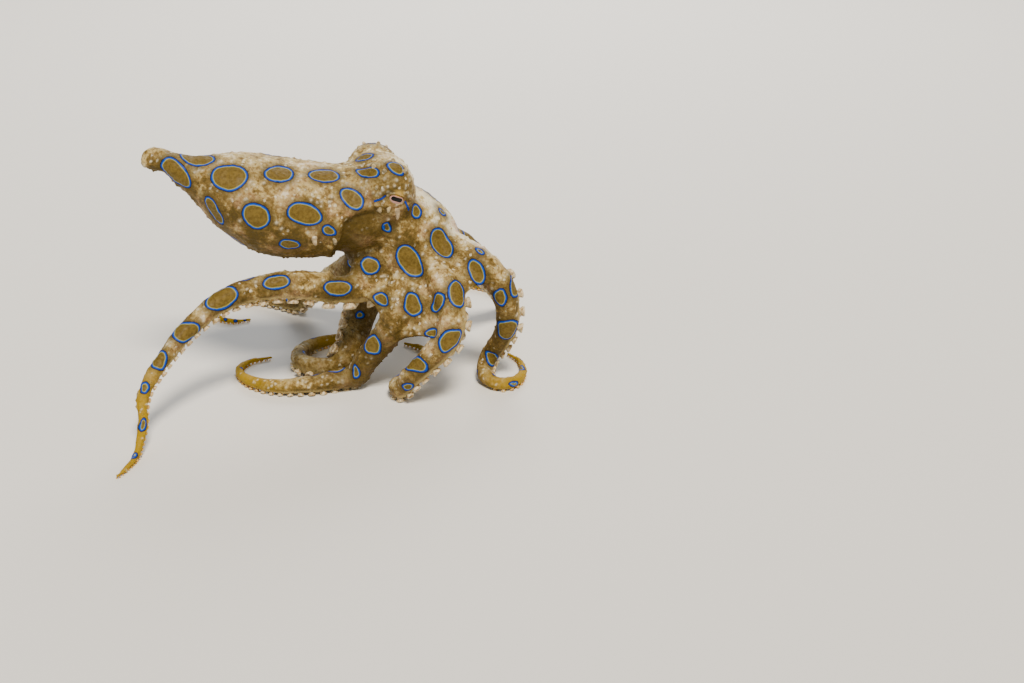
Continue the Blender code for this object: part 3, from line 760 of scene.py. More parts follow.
edgeFold = {
    "edge": 3.0,  # about where along X the mantle ends
    # its free edge, by pixels of the photo
    "line": (
        (398, 206), (384, 208), (371, 210), (360, 212), (351, 216), (343, 223), (341, 232), (339, 241),
        (334, 248),
    ),
    "underNeck": 6.0,  # how far it hangs between the two sides
    "steps": 8,
    "towardsHead": Vector((0.75, 0.05, -0.66)).normalized(),
    "room": ((-8, 14), 17),  # from where to where along X, and above which height, it has effect
    "reach": 7.0,
    # past the edge, where the skin behind it sinks and is level again, and by how much
    "sinks": ((-0.1, 0.55), (1.8, 4.5), 0.65),
    "lip": (-0.55, 0.5, 0.35),  # place, softness and rise
    "shade": ((0.0, 0.5), (3.0, 6.5)),  # where the painted shade in the hollow behind the edge begins and ends
    "fades": (8.5, 11.5),  # between these places along X
}


def foldLine(tree):
    # points close together along the mantle's free edge, right round under the neck
    right = [onSkin(tree, pixel)[0] for pixel in edgeFold["line"]]
    right = [spot for spot in right if spot is not None]
    other = [mirrored(spot) for spot in right]
    under = []
    for i in range(1, edgeFold["steps"]):
        share = i / edgeFold["steps"]
        drop = math.sin(share * math.pi) * edgeFold["underNeck"] * mm
        under.append(tree.find_nearest(right[-1].lerp(other[-1], share) - up * drop)[0])
    return smoothPath(right + under + other[::-1], edgeFold["steps"])


def shapeEdge(tree, points):
    # how far the skin moves out along the mantle's free edge, and the painted shade in the hollow behind it
    lineTree = nearTree(foldLine(tree))
    ahead = np.full(len(points), -far)
    (first, last), lowest = edgeFold["room"]
    x, z = points[:, 0] / mm, points[:, 2] / mm
    for i in np.nonzero((x > first) & (x < last) & (z > lowest))[0]:
        spot, _, distance = lineTree.find(points[i])
        if distance < edgeFold["reach"] * mm:
            # how far past the edge, towards the head
            shift = Vector(points[i]) - spot
            ahead[i] = math.copysign(distance / mm, shift.dot(edgeFold["towardsHead"]))
    behindEye = 1 - smoothStep(*edgeFold["fades"], x + body["footprintCentre"].x)
    begin, end, inset = edgeFold["sinks"]
    push = -inset * smoothStep(*begin, ahead) * (1 - smoothStep(*end, ahead)) * behindEye
    place, softness, rise = edgeFold["lip"]
    push += rise * np.exp(-((ahead - place) / softness) ** 2)
    begin, end = edgeFold["shade"]
    shade = smoothStep(*begin, ahead) * (1 - smoothStep(*end, ahead)) * behindEye
    return push, shade


def mouthForms(points, normals):
    # in the middle under the arms, the rise of the lips and the pit of the beak, from 0 to 1
    shift = (points - np.array(toFrame(body["ringCentre"] + mouthAxis * head["mouthBelow"]))) / mm
    axis = np.array(mouthAxis)
    fromAxis = np.linalg.norm(shift - np.outer(shift @ axis, axis), axis=1)
    reach, facing = head["mouthReach"]
    under = (np.abs(shift @ axis) < reach) & (normals @ axis > facing)
    radius, softness, rise = head["lips"]
    lips = np.where(under, rise * np.exp(-(((fromAxis - radius) / softness) ** 2)), 0.0)
    return lips, np.where(under, 1 - smoothStep(*head["beakPit"], fromAxis), 0.0)


def markArms(piece, points, normals):
    # how far along an arm each point is, whether it faces the way of the suckers, and its painted shade
    count = skin["armSamples"]
    samples = [(arm, arm.length * i / count) for arm in armList for i in range(count + 1)]
    armTree = nearTree([toFrame(arm.at(run)) for arm, run in samples])
    armShare, oral, paintedArmShade = (np.zeros(len(points)) for _ in range(3))
    for i, point in enumerate(points):
        _, j, distance = armTree.find(point)
        arm, run = samples[j]
        if distance < arm.radius(run) * skin["armReach"] * mm:
            armShare[i] = run / arm.length
            oral[i] = arm.facing(run).dot(Vector(normals[i]))
            # painted shade on the arms that lie in the shade under the body
            if arm.name in skin["paintedShadeArms"]:
                paintedArmShade[i] = float(np.interp(armShare[i], skin["paintedShadeArms"][arm.name], (0, 1, 1, 0)))
    setAttribute(piece, "armShare", armShare)
    setAttribute(piece, "oral", oral)
    setAttribute(piece, "paintedArmShade", paintedArmShade)
    return armShare


def addWarts(piece, points, normals, gap, armShare):
    # soft warts, some of them white on top, and folds: how far the skin moves out
    draw = random.Random(skin["seed"])
    count = len(points)
    wart = np.zeros(count)
    pale = np.zeros(count)
    reach, steepness = skin["wartShape"]
    whiteShare, moreOnTop = skin["whiteWarts"]
    armFrom, onArm = skin["armWart"]
    ringReach, onRing = skin["ringWart"]
    skinTree = nearTree(points)
    for i in draw.sample(range(count), skin["warts"]):
        smaller, lower = (1.0, 1.0) if armShare[i] < armFrom else onArm
        radius = draw.uniform(*skin["wartRadius"]) * smaller
        height = draw.uniform(*skin["wartHeight"]) * lower
        white = draw.random() < whiteShare + moreOnTop * normals[i][2]
        if gap[i] < ringReach:
            height *= onRing
            white = False
        for _, j, distance in skinTree.find_range(points[i], radius * reach * mm):
            bump = math.exp(-((distance / mm / radius) ** 2) * steepness)
            wart[j] = max(wart[j], height * bump)
            if white:
                pale[j] = max(pale[j], bump**2)
    setAttribute(piece, "pale", pale)
    tail = smoothStep(*skin["tail"], points[:, 0] / mm)
    moreFolds, moreWarts = skin["tailRoughness"]
    wart *= 1 + moreWarts * tail
    size, height = skin["fold"]
    scale = 1 / (size * mm)
    folds = np.array([noise.fractal(Vector(point) * scale, *skin["foldNoise"]) for point in points])
    start, end, share = skin["armCalm"]
    calm = 1 - share * smoothStep(start, end, armShare)
    return wart + folds * height * calm * (1 + moreFolds * tail)


def shapeEyes(piece, points):
    # the pit of each eye and its lids, which wrap the ball, so the skin beside them comes to its front
    eyeGap = np.full(len(points), far)
    gold = np.zeros(len(points))
    half, tall = eye["opening"]
    lidPlace, lidSoftness, lidRise = eye["lid"]
    pitFloor, pitRim, pitDepth = eye["pit"]
    (lidX, lidY), (lidHalf, lidTall), goldFade = eye["goldLid"]
    for side in (-1, 1):
        middle, across, upwards, out = (np.array(part) for part in eyeAxes(side))
        shift = (points - np.array(toFrame(middle))) / mm
        x, y, o = shift @ across, shift @ upwards, shift @ out
        atEye = o > eye["deepest"]
        ring = np.where(atEye, np.hypot(x / half, y / tall), far)
        eyeGap = np.minimum(eyeGap, np.linalg.norm(shift - out * eye["radius"], axis=1))
        lid = np.hypot((x - lidX) / lidHalf, (y - lidY) / lidTall)
        gold = np.maximum(gold, np.where(atEye, 1 - smoothStep(*goldFade, lid), 0.0))
        target = eye["radius"] - eye["sunk"] - eye["sunk"] * (x / half) ** 2
        push = (target - o) * (1 - smoothStep(*eye["lidWrap"], ring))
        push += np.exp(-(((ring - lidPlace) / lidSoftness) ** 2)) * lidRise
        push -= (1 - smoothStep(pitFloor, pitRim, ring)) * pitDepth
        points += np.outer(push * mm, out)
    setAttribute(piece, "eyeGap", eyeGap)
    setAttribute(piece, "gold", gold)


def shapeSkin(piece, tree, rings):
    # every form finer than the voxels, and the attributes that carry the markings
    points = valuesOf(piece, "co")
    normals = valuesOf(piece, "normal")
    gap = np.full(len(points), far)
    for ring in rings:
        gap = np.minimum(gap, ringGap(ring, points, normals))
    setAttribute(piece, "ringGap", gap)
    setAttribute(piece, "strokeGap", strokeGap(tree, points))
    push, shade = shapeEdge(tree, points)
    lips, pit = mouthForms(points, normals)
    push += lips
    push -= pit * head["pitDepth"]
    # painted shade in the hollow behind the mantle's edge, and in the beak's pit the beak's own dark together
    # with painted shade
    setAttribute(piece, "neck", np.maximum(shade, pit))
    # pale skin facing forward along the brow: partly its own colour, partly painted light from the front
    slope = 1 - smoothStep(*skin["paleReach"], lineGap(points, *(toFrame(end) for end in skin["paleSlope"])))
    slope *= smoothStep(*skin["paleFacing"], normals @ np.array(skin["paleWay"]))
    setAttribute(piece, "front", slope)
    armShare = markArms(piece, points, normals)
    push += addWarts(piece, points, normals, gap, armShare)
    points += normals * (push * mm)[:, None]
    shapeEyes(piece, points)
    points[:, 2] = np.maximum(points[:, 2], skin["lift"] * mm)
    movePoints(piece, points)


def addNode(tree, kind, *values, out=None, **settings):
    # values go to the node's inputs in order, and settings to its inputs by name or, in small letters,
    # to the node itself. What comes back is the output named out, or else the first in use.
    node = tree.nodes.new("ShaderNode" + kind)
    for name in [name for name in settings if name[0].islower()]:
        setattr(node, name, settings.pop(name))
    given = list(zip([socket for socket in node.inputs if socket.enabled], values))
    given += [(node.inputs[name], value) for name, value in settings.items()]
    for socket, value in given:
        if isinstance(value, bpy.types.NodeSocket):
            tree.links.new(value, socket)
        else:
            socket.default_value = value
    return node.outputs[out] if out else next((socket for socket in node.outputs if socket.enabled), None)


# what several nodes are set to
times = {"operation": "MULTIPLY"}
larger = {"operation": "MAXIMUM"}
fade = {"interpolation_type": "SMOOTHSTEP"}  # from 0 at the first limit to 1 at the second
tints = {"data_type": "RGBA"}


def colour(code):
    # an sRGB hex value as linear
    parts = [int(code[i:i + 2], 16) / 255 for i in (1, 3, 5)]
    return (*(part / 12.92 if part <= 0.04045 else ((part + 0.055) / 1.055) ** 2.4 for part in parts), 1.0)


def newMaterial(name):
    # the material, and what adds its nodes
    made = bpy.data.materials.new(name)
    made.use_nodes = True
    made.node_tree.nodes.clear()
    return made, partial(addNode, made.node_tree)


def centred(add, value, amount):
    # noise as a swing of so much to both sides of nothing
    return add("Math", add("Math", value, -0.5), amount, **times)


def band(add, value, low, high, soft):
    # 1 between low and high
    rise = add("MapRange", value, low - soft, low + soft, **fade)
    fall = add("MapRange", value, high + soft, high - soft, **fade)
    return add("Math", rise, fall, **times)


def over(add, base, tint, strength, *masks):
    # a colour laid over the base by masks: a value, or a value and the limits between which it fades in
    for mask in masks:
        if isinstance(mask, tuple):
            mask = add("MapRange", *mask, **fade)
        strength = add("Math", strength, mask, **times)
    return add("Mix", strength, base, colour(tint), **tints)


skinColours = {
    "cream": "#c2ac72",
    "white": "#efe6c8",
    "tan": "#836a38",
    "olive": "#56461b",
    "brown": "#4a3610",
    "shadeAndBeakUmber": "#47380a",
    "pink": "#c2907c",
    "ringGold": "#74602a",
    "ringBrown": "#5d4b1c",
    "ringHalo": "#a5a552",
    "blue": "#003cac",
    "blueLight": "#0f6fce",
    "blueDark": "#04112e",
    "lidGold": "#bd9d50",
    "tipYellow": "#a48400",
}

skinPattern = {
    # size in mm of each noise, with its detail, roughness and distortion
    "broad": (5.0, 3.0, 0.6, 0.0),
    "patch": (1.5, 4.0, 0.65, 0.2),
    "grain": (0.5, 3.0, 0.6, 0.0),
    "dots": (0.2, 2.0, 0.5, 0.0),
    # size in mm of the cells
    "granule": 0.95,
    "wrinkle": 0.7,
    # how much makes the skin paler: facing up (a painted light from above), each noise, and the slope from
    # the brow (partly painted light on skin facing forward)
    "tone": (0.32, 1.1, 1.8, 0.9, 0.4),
    # from olive to each colour by tone
    "steps": (("tan", -0.34, 0.12), ("cream", 0.0, 0.40), ("white", 0.36, 0.70)),
    # the ring's colours by mm from its line: from, to and softness
    "halo": (-0.48, -0.34, 0.06),
    "dark": (-0.34, 0.07, 0.06),
    "line": (-0.34, -0.09, 0.04),
    "glow": (-0.33, -0.25, 0.04),
    # mm from the middle of a stroke, where its dark edge and its blue fade in
    "strokeDark": (0.25, 0.18),
    "strokeLine": (0.18, 0.11),
    "bump": 0.34,  # mm
}
skinGloss = {
    "IOR": 1.36, "Specular IOR Level": 0.22, "Coat Weight": 0.03, "Coat Roughness": 0.25,
    "Subsurface Weight": 0.06, "Subsurface Scale": 0.0006, "Subsurface Radius": (1.0, 0.55, 0.35),
}


def makeSkinMaterial():
    # Wet live skin: chromatophore blotches under a clear film, blue ring lines, soft and translucent
    c = skinColours
    made, add = newMaterial("wetOctopusSkin")
    place = add("TexCoord", out="Object")
    gap, stroke, armShare, oral, neck, pale, eyeGap, gold, paintedArmShade, front = (
        add("Attribute", attribute_name=name, out="Fac") for name in (
            "ringGap", "strokeGap", "armShare", "oral", "neck", "pale", "eyeGap", "gold", "paintedArmShade", "front",
        )
    )
    broad, patch, grain, dots = (
        add("TexNoise", Vector=place, Scale=1 / (size * mm), Detail=detail, Roughness=rough, Distortion=twist)
        for size, detail, rough, twist in (skinPattern[name] for name in ("broad", "patch", "grain", "dots"))
    )
    upness = add("SeparateXYZ", add("NewGeometry", out="Normal"), out="Z")

    # cream above and olive below, both in blotches: the blotches are the skin's own mottling, and the paler
    # skin facing up over olive facing down is a painted light from above
    byUp, byBroad, byPatch, byGrain, byFront = skinPattern["tone"]
    # painted light from above: skin that faces up is paler, skin that faces down darker olive
    tone = add("Math", upness, byUp, **times)
    for noisy, amount in ((broad, byBroad), (patch, byPatch), (grain, byGrain)):
        tone = add("Math", tone, centred(add, noisy, amount))
    # paler on the brow slope, with pink blotches there: partly the skin's own pale pink crown, partly painted
    # light on skin that faces forward
    tone = add("Math", tone, add("Math", front, byFront, **times))
    base = colour(c["olive"])
    for name, low, high in skinPattern["steps"]:
        base = over(add, base, c[name], 1.0, (tone, low, high))
    pinkish = add("Math", add("Math", front, 0.35, **times), 0.2)
    base = over(add, base, c["pink"], 1.0, (broad, 0.50, 0.66), pinkish)
    # brown chromatophore dots, and white grains on the upper side
    base = over(add, base, c["brown"], 0.55, (dots, 0.56, 0.68), (tone, 0.5, 0.0))
    cells = add("TexVoronoi", Vector=place, Scale=1 / (skinPattern["granule"] * mm), Randomness=1.0)
    chosen = add("SeparateColor", cells.node.outputs["Color"], out="Red")
    above = add("Math", upness, centred(add, patch, 1.6))
    granule = add("MapRange", add("Math", cells, centred(add, dots, 0.5)), 0.36, 0.16, **fade)
    for value, low, high in ((chosen, 0.50, 0.60), (above, -0.25, 0.35)):
        granule = add("Math", granule, add("MapRange", value, low, high, **fade), **times)
    base = over(add, base, c["white"], 0.85, granule)
    # the brown surround of each ring
    base = over(add, base, c["olive"], 0.75, (gap, 1.9, 0.2), (patch, 0.36, 0.60))
    base = over(add, base, c["olive"], 0.5, (gap, 0.75, 0.1))
    # arms are pale on the suckers' side and turn yellow to their tips, and some warts are white
    base = over(add, base, c["cream"], 0.7, (oral, 0.2, 0.65))
    base = over(add, base, c["tipYellow"], 0.96, (armShare, 0.58, 0.80))
    base = over(add, base, c["white"], 0.6, pale)
    # olive round the eye with a gold upper lid, then painted shade: in the hollow behind the mantle's edge,
    # in the beak's pit together with the beak's own dark, and on the arms that lie in the shade
    base = over(add, base, c["olive"], 0.7, (eyeGap, 6.5, 2.0), (patch, 0.40, 0.58))
    base = over(add, base, c["lidGold"], 0.85, gold)
    shade = add("Math", neck, add("Math", paintedArmShade, 0.8, **times), **larger)
    patchy = add("Math", centred(add, patch, 1.2), 0.85, use_clamp=True)
    base = over(add, base, c["shadeAndBeakUmber"], 0.92, shade, patchy)

    # the rings, their edges a little uneven
    uneven = add("Math", gap, add("Math", centred(add, patch, 0.28), centred(add, grain, 0.14)))
    inside = over(add, colour(c["ringGold"]), c["ringBrown"], 1.0, (grain, 0.35, 0.68))
    inside = over(add, inside, c["ringBrown"], 0.35, (gap, -1.0, -0.4))
    base = add("Mix", add("MapRange", uneven, 0.0, -0.1, **fade), base, inside, **tints)
    base = over(add, base, c["ringHalo"], 0.75, band(add, uneven, *skinPattern["halo"]))
    strokeDark = add("MapRange", stroke, *skinPattern["strokeDark"], **fade)
    dark = add("Math", band(add, uneven, *skinPattern["dark"]), strokeDark, **larger)
    base = over(add, base, c["blueDark"], 0.92, dark)
    strokeLine = add("MapRange", stroke, *skinPattern["strokeLine"], **fade)
    line = add("Math", band(add, uneven, *skinPattern["line"]), strokeLine, **larger)
    glow = band(add, uneven, *skinPattern["glow"])
    blue = over(add, colour(c["blue"]), c["blueLight"], 1.0, glow, (patch, 0.36, 0.56))
    base = add("Mix", line, base, blue, **tints)

    # wet and finely wrinkled, calmer inside the rings
    rough = add("MapRange", grain, 0.3, 0.7, 0.48, 0.66)
    wrinkle = add("TexVoronoi", feature="SMOOTH_F1", Vector=place, Scale=1 / (skinPattern["wrinkle"] * mm))
    relief = add("Math", wrinkle, -0.8, **times)
    for value, amount in ((grain, 1.2), (granule, 0.5)):
        relief = add("Math", relief, add("Math", value, amount, **times))
    inRing = add("Math", add("MapRange", gap, 0.1, -0.3, **fade), -0.45, **times)
    bump = add("Bump", Strength=add("Math", inRing, 0.75), Distance=skinPattern["bump"] * mm, Height=relief)
    add("OutputMaterial", add("BsdfPrincipled", base, Roughness=rough, Normal=bump, **skinGloss))
    return made


suckers = {
    "start": 4.6,  # mm from an arm's root
    "end": 0.3,  # mm from its tip
    "radius": (0.47, 0.15),  # share of the arm's radius, and the least
    "spacing": (0.62, 0.42),  # the same
    "lean": math.radians(25.0),
    "tilts": 0.1,
    "varies": 0.14,
    "sunk": 0.96,  # arm radii from its middle to a sucker's foot
    "sides": 9,
    # radius and height of each level, from the foot over the rim into the cup
    "profile": (
        (0.7, -0.6), (0.66, 0.12), (0.86, 0.4), (1.0, 0.7), (0.9, 0.92), (0.7, 0.9), (0.4, 0.5), (0.12, 0.42),
    ),
    "cup": (0.6, 0.3),  # within this radius and above this height a sucker is browner: painted shade inside the cup
    "lift": 0.02,  # over the floor
    "milk": "#d9c9a6",
    "mottle": "#a48d63",
    "mottleSize": 0.6,  # mm
    "cupShade": "#77603c",
    "tipTint": "#d9a12e",
    "bump": 0.06,  # mm
    "seed": 11,
}
suckerGloss = {
    "IOR": 1.38, "Coat Weight": 0.15, "Coat Roughness": 0.2,
    "Subsurface Weight": 0.35, "Subsurface Scale": 0.0008, "Subsurface Radius": (1.0, 0.7, 0.5),
}


def makeSuckerMaterial():
    # Sucker cups: milky, translucent and wet, with painted shade in the cup
    made, add = newMaterial("milkySucker")
    cup, share = (add("Attribute", attribute_name=name, out="Fac") for name in ("cup", "armShare"))
    place = add("TexCoord", out="Object")
    scale = 1 / (suckers["mottleSize"] * mm)
    mottle = add("TexNoise", Vector=place, Scale=scale, Detail=3.0, Roughness=0.5, Distortion=0.0)
    base = over(add, colour(suckers["milk"]), suckers["mottle"], 1.0, (mottle, 0.4, 0.62))
    # painted shade inside the cup
    base = over(add, base, suckers["cupShade"], 0.65, cup)
    base = over(add, base, suckers["tipTint"], 0.8, (share, 0.62, 0.85))
    bump = add("Bump", Strength=0.3, Distance=suckers["bump"] * mm, Height=mottle)
    add("OutputMaterial", add("BsdfPrincipled", base, Roughness=0.32, Normal=bump, **suckerGloss))
    return made


def suckerShape():
    # one sucker of unit size, and which of its points are in the cup
    bm = bmesh.new()
    levels = []
    for width, height in suckers["profile"]:
        levels.append(Matrix.Translation((0, 0, height)) @ Matrix.Diagonal((width, width, 1, 1)))
    addLoft(bm, levels, suckers["sides"])
    bmesh.ops.recalc_face_normals(bm, faces=bm.faces)
    shape = bpy.data.meshes.new("suckerShape")
    bm.to_mesh(shape)
    bm.free()
    within, above = suckers["cup"]
    return shape, [float(v.co.xy.length < within and v.co.z > above) for v in shape.vertices]


def makeSuckers(material):
    # two rows that lean apart, along each arm to its tip
    shape, inCup = suckerShape()
    bm = bmesh.new()
    cup = []
    share = []
    draw = random.Random(suckers["seed"])
    radiusShare, leastRadius = suckers["radius"]
    spacing, leastSpacing = suckers["spacing"]
    for arm in armList:
        run = suckers["start"]
        row = 1
        while run < arm.length - suckers["end"]:
            radius = arm.radius(run)
            along, side, across = arm.frameAt(run)
            size = max(radiusShare * radius, leastRadius) * draw.uniform(1 - suckers["varies"], 1)
            lean = side * math.cos(suckers["lean"]) + across * (row * math.sin(suckers["lean"]))
            tilt = lean + Vector([draw.uniform(-suckers["tilts"], suckers["tilts"]) for _ in range(3)])
            foot = arm.at(run) + lean * (radius * suckers["sunk"])
            known = len(bm.verts)
            bm.from_mesh(shape)
            bm.verts.ensure_lookup_table()
            matrix = placed(foot, tilt, along, (size, size, size))
            bmesh.ops.transform(bm, matrix=matrix, verts=bm.verts[known:])
            cup += inCup
            share += [run / arm.length] * len(inCup)
            run += max(spacing * radius, leastSpacing)
            row = -row
    bpy.data.meshes.remove(shape)
    made = smoothObject("suckers", bm)
    points = valuesOf(made, "co")
    points[:, 2] = np.maximum(points[:, 2], suckers["lift"] * mm)
    movePoints(made, points)
    setAttribute(made, "cup", cup)
    setAttribute(made, "armShare", share)
    made.data.materials.append(material)
    print("suckers have", len(made.data.polygons), "faces")
    return made


papillae = {
    # over each eye: forward of its middle, up from it and out, in mm
    "overEye": ((-1.2, 3.4, -0.5), (1.4, 3.1, -0.7), (0.3, 4.6, -1.9), (-2.6, 4.3, -1.6)),
    "overEyeSize": (0.34, 0.55),
    # hanging from the mantle's edge and under the eye: pixel of the photo, radius and length in mm
    "hanging": (
        ((334.9, 239.5), 0.36, 1.1), ((314.2, 239), 0.42, 1.1), ((379.6, 207), 0.42, 0.9),
        ((388.6, 208.5), 0.34, 0.65), ((397.4, 211.5), 0.38, 1.2),
    ),
    "levels": (-0.5, -0.2, 0.0, 0.12, 0.25, 0.4, 0.55, 0.7, 0.82, 0.92, 0.98, 1.0),  # shares of its length
    "roundsFrom": 0.45,  # share of its length from which the tip is round
    "flare": (0.85, 0.4),  # width above, and how much more at the foot
    "uneven": (0.96, 1.04),
    "flatness": (0.75, 1.0),
    "leastTip": 0.02,
    "sways": 0.25,
    "hangsOut": 0.3,  # off the skin, to one straight down
    "sides": 14,
    # they carry the skin's attributes too
    "attributes": {
        "ringGap": far, "strokeGap": far, "armShare": 0.0, "oral": 0.0,
        "neck": 0.0, "pale": 0.35, "eyeGap": far, "gold": 0.0, "paintedArmShade": 0.0, "front": 0.0,
    },
    "seed": 3,
}


def addPapilla(bm, foot, way, radius, height, draw):
    # a soft lobe that flares into the skin, with a round tip and an uneven side
    sections = []
    sway = Vector([draw.uniform(-papillae["sways"], papillae["sways"]) for _ in range(3)])
    above, more = papillae["flare"]
    start = papillae["roundsFrom"]
    for level in papillae["levels"]:
        share = max(level, 0.0)
        flare = (above + more * (1 - share) ** 3) * draw.uniform(*papillae["uneven"])
        tip = math.sqrt(max(1 - (max(share - start, 0.0) / (1 - start)) ** 2, papillae["leastTip"]))
        width = radius * flare * tip
        centre = foot / mm + body["footprintCentre"] + way * (level * height)
        centre += sway * (share * share * height)
        flat = width * draw.uniform(*papillae["flatness"])
        sections.append(placed(centre, way, viewRight, (width, flat, 1.0)))
    addLoft(bm, sections, papillae["sides"])


def makePapillae(tree, material):
    bm = bmesh.new()
    draw = random.Random(papillae["seed"])
    for side in (-1, 1):
        for ahead, above, out in papillae["overEye"]:
            place = onSide(side, eye["centre"], eye["out"] + out) + forward * ahead + up * above
            spot, normal, _, _ = tree.find_nearest(toFrame(place))
            addPapilla(bm, spot, normal, *papillae["overEyeSize"], draw)
    for pixel, radius, height in papillae["hanging"]:
        spot = onSkin(tree, pixel)[0]
        if spot is None:
            continue
        for foot in (spot, mirrored(spot)):
            near, normal, _, _ = tree.find_nearest(foot)
            way = (normal * papillae["hangsOut"] - up).normalized()
            addPapilla(bm, near, way, radius, height, draw)
    made = closedObject("papillae", bm)
    for name, value in papillae["attributes"].items():
        setAttribute(made, name, np.full(len(made.data.vertices), value))
    made.data.materials.append(material)
    return made


eyeLook = {
    "gold": "#c9952f",
    "slit": 0.62,  # mm from its middle to where its round ends begin
    # the other tints, and where each fades in: mm from the slit's middle line, or above it for the lower iris
    "pupil": ("#020201", 0.40, 0.34),
    "rim": ("#bd9188", 0.60, 0.46),
    "lower": ("#b98f86", 0.35, -0.2),
    "fleck": "#6f4a14",
    "fleckSize": 0.25,  # mm
    "uneven": 0.1,
}
eyeGloss = {"IOR": 1.36, "Specular IOR Level": 0.3, "Coat Weight": 0.12, "Coat Roughness": 0.05}


def makeEyeMaterial():
    # The eye: gold iris with fine radial flecks, a black slit with a pale rim, under a wet clear cornea
    made, add = newMaterial("goldIrisEye")
    along, above = (add("Attribute", attribute_name=name, out="Fac") for name in ("slitAlong", "slitAbove"))
    place = add("TexCoord", out="Object")
    scale = 1 / (eyeLook["fleckSize"] * mm)
    fleck = add("TexNoise", Vector=place, Scale=scale, Detail=3.0, Roughness=0.6, Distortion=0.0)
    # distance from a slit with round ends, mm
    beyond = add("Math", add("Math", along, operation="ABSOLUTE"), -eyeLook["slit"])
    beyond = add("Math", beyond, 0.0, **larger)
    squares = add("Math", add("Math", beyond, beyond, **times), add("Math", above, above, **times))
    away = add("Math", add("Math", squares, operation="SQRT"), centred(add, fleck, eyeLook["uneven"]))
    base = over(add, colour(eyeLook["gold"]), eyeLook["fleck"], 1.0, (fleck, 0.4, 0.62))
    for name, value in (("lower", above), ("rim", away), ("pupil", away)):
        tint, low, high = eyeLook[name]
        base = over(add, base, tint, 1.0, (value, low, high))
    add("OutputMaterial", add("BsdfPrincipled", base, Roughness=0.3, **eyeGloss))
    return made


def makeEye(name, side, material):
    middle, across, upwards, out = eyeAxes(side)
    bm = bmesh.new()
    addOval(bm, middle, out, across, (eye["radius"],) * 3, *eye["facets"])
    made = closedObject(name, bm)
    shift = (valuesOf(made, "co") - np.array(toFrame(middle))) / mm
    setAttribute(made, "slitAlong", shift @ np.array(across))
    setAttribute(made, "slitAbove", shift @ np.array(upwards))
    made.data.materials.append(material)
    return made


stage = {
    "half": 2.0,  # half the floor's width, metres
    "curve": (10, 0.03),  # the steps in which it bends up behind, and their length
    "wall": 0.6,  # height above the curve
    "colour": "#ecece9",
}


def makeStage():
    # a pale floor that rises into a backdrop
    bm = bmesh.new()
    bmesh.ops.create_grid(bm, x_segments=2, y_segments=2, size=stage["half"])
    rear = [edge for edge in bm.edges if all(vert.co.y > 0.99 * stage["half"] for vert in edge.verts)]
    steps, length = stage["curve"]
    angles = [math.pi / 2 * (i + 0.5) / steps for i in range(steps)]
    moves = [(0, length * math.cos(angle), length * math.sin(angle)) for angle in angles]
    for move in (*moves, (0, 0, stage["wall"])):
        made = bmesh.ops.extrude_edge_only(bm, edges=rear)["geom"]
        verts = [item for item in made if isinstance(item, bmesh.types.BMVert)]
        edges = [item for item in made if isinstance(item, bmesh.types.BMEdge)]
        rear = [edge for edge in edges if set(edge.verts) <= set(verts)]
        bmesh.ops.translate(bm, verts=verts, vec=move)
    floor = smoothObject("floor", bm)
    # Matt painted board: even and without gloss
    made, add = newMaterial("paleFloor")
    add("OutputMaterial", add("BsdfPrincipled", colour(stage["colour"]), Roughness=0.8))
    floor.data.materials.append(made)


lights = {
    "sun": {"way": (-0.07, 0.20, -0.38), "power": 4.6, "angle": math.radians(16.0), "tint": "#fff2df"},
    # place, width, power and tint of each lamp, which points at the target
    "lamps": {
        "fill": ((-0.36, -0.30, 0.16), 0.3, 0.45, "#eef3ff"),
        "rim": ((0.05, 0.34, 0.26), 0.2, 0.9, "#ffffff"),
    },
    "target": Vector((0.0, 0.0, 0.02)),
    # the world's tint and strength: dim as a light, and as bright as the floor where the camera sees it
    "tints": ("#dfe3e8", "#ece8e0"),
    "strengths": (0.24, 1.14),
}


def addLight(name, kind, way, power, tint):
    lamp = bpy.data.lights.new(name, kind)
    lamp.energy = power
    lamp.color = colour(tint)[:3]
    made = linkObject(name, lamp)
    made.rotation_euler = Vector(way).to_track_quat("-Z", "Y").to_euler()
    return made


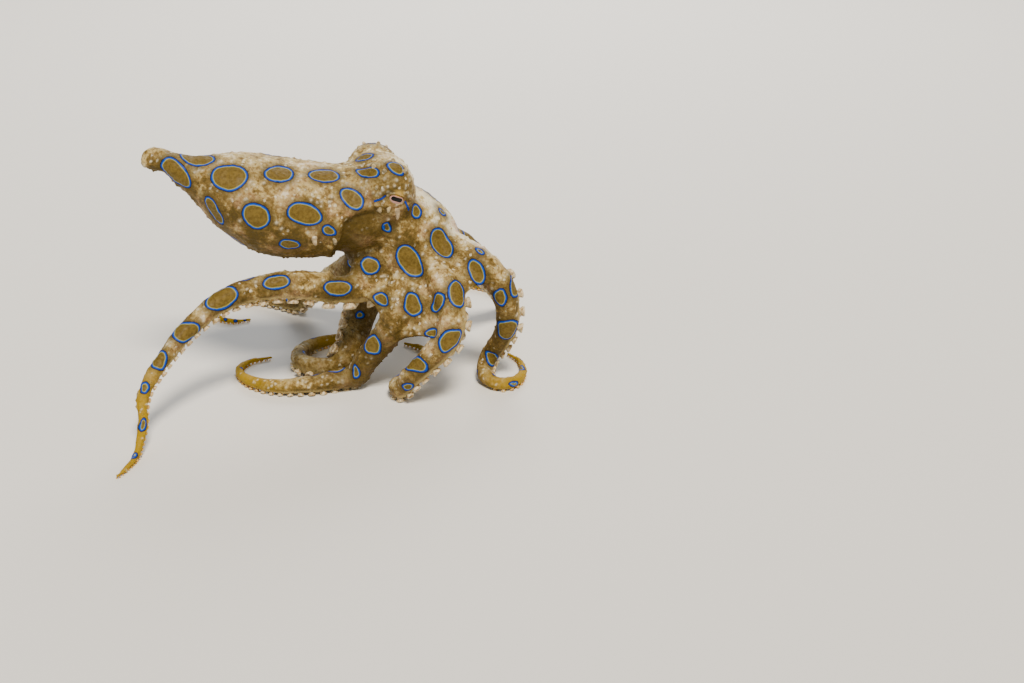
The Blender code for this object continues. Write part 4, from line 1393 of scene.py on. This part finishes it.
def makeLights():
    sun = lights["sun"]
    addLight("key", "SUN", sun["way"], sun["power"], sun["tint"]).data.angle = sun["angle"]
    for name, (spot, width, power, tint) in lights["lamps"].items():
        lamp = addLight(name, "AREA", lights["target"] - Vector(spot), power, tint)
        lamp.location = spot
        lamp.data.size = width
    world = bpy.data.worlds.new("studio")
    world.use_nodes = True
    add = partial(addNode, world.node_tree)
    background = world.node_tree.nodes["Background"]
    seen = add("LightPath", out="Is Camera Ray")
    tint = add("Mix", seen, *(colour(code) for code in lights["tints"]), **tints)
    strength = add("Mix", seen, *lights["strengths"])
    world.node_tree.links.new(tint, background.inputs["Color"])
    world.node_tree.links.new(strength, background.inputs["Strength"])
    bpy.context.scene.world = world


def makeCamera():
    lens = bpy.data.cameras.new("camera")
    lens.lens = photo["lens"]
    lens.sensor_width = photo["sensor"]
    lens.clip_start = 0.01
    camera = linkObject("camera", lens)
    camera.location = toFrame(viewPoint)
    camera.rotation_euler = (-viewBack).to_track_quat("-Z", "Y").to_euler()
    bpy.context.scene.camera = camera


makeCamera()
makeLights()
makeStage()
print("stage ready")

octopusSkin = makeForms()
meltForms(octopusSkin)
refineEyes(octopusSkin)
bm = bmesh.new()
bm.from_mesh(octopusSkin.data)
skinTree = BVHTree.FromBMesh(bm)
bm.free()
ringList = makeRings(skinTree, octopusSkin)
shapeSkin(octopusSkin, skinTree, ringList)
octopusSkin.data.shade_smooth()
skinMaterial = makeSkinMaterial()
octopusSkin.data.materials.append(skinMaterial)
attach(octopusSkin, "root")
flesh = [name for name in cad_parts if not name.startswith("eye")]
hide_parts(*flesh)
print("skin ready")

suckerPiece = makeSuckers(makeSuckerMaterial())
papillaPiece = makePapillae(skinTree, skinMaterial)
for piece in (suckerPiece, papillaPiece):
    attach(piece, "root")
print("suckers and papillae ready")

eyeMaterial = makeEyeMaterial()
for name, node, side in (("eyeRight", "eye_right", -1), ("eyeLeft", "eye_left", 1)):
    eyePiece = makeEye(name, side, eyeMaterial)
    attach(eyePiece, "root")
    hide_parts(node)
print("eyes ready")
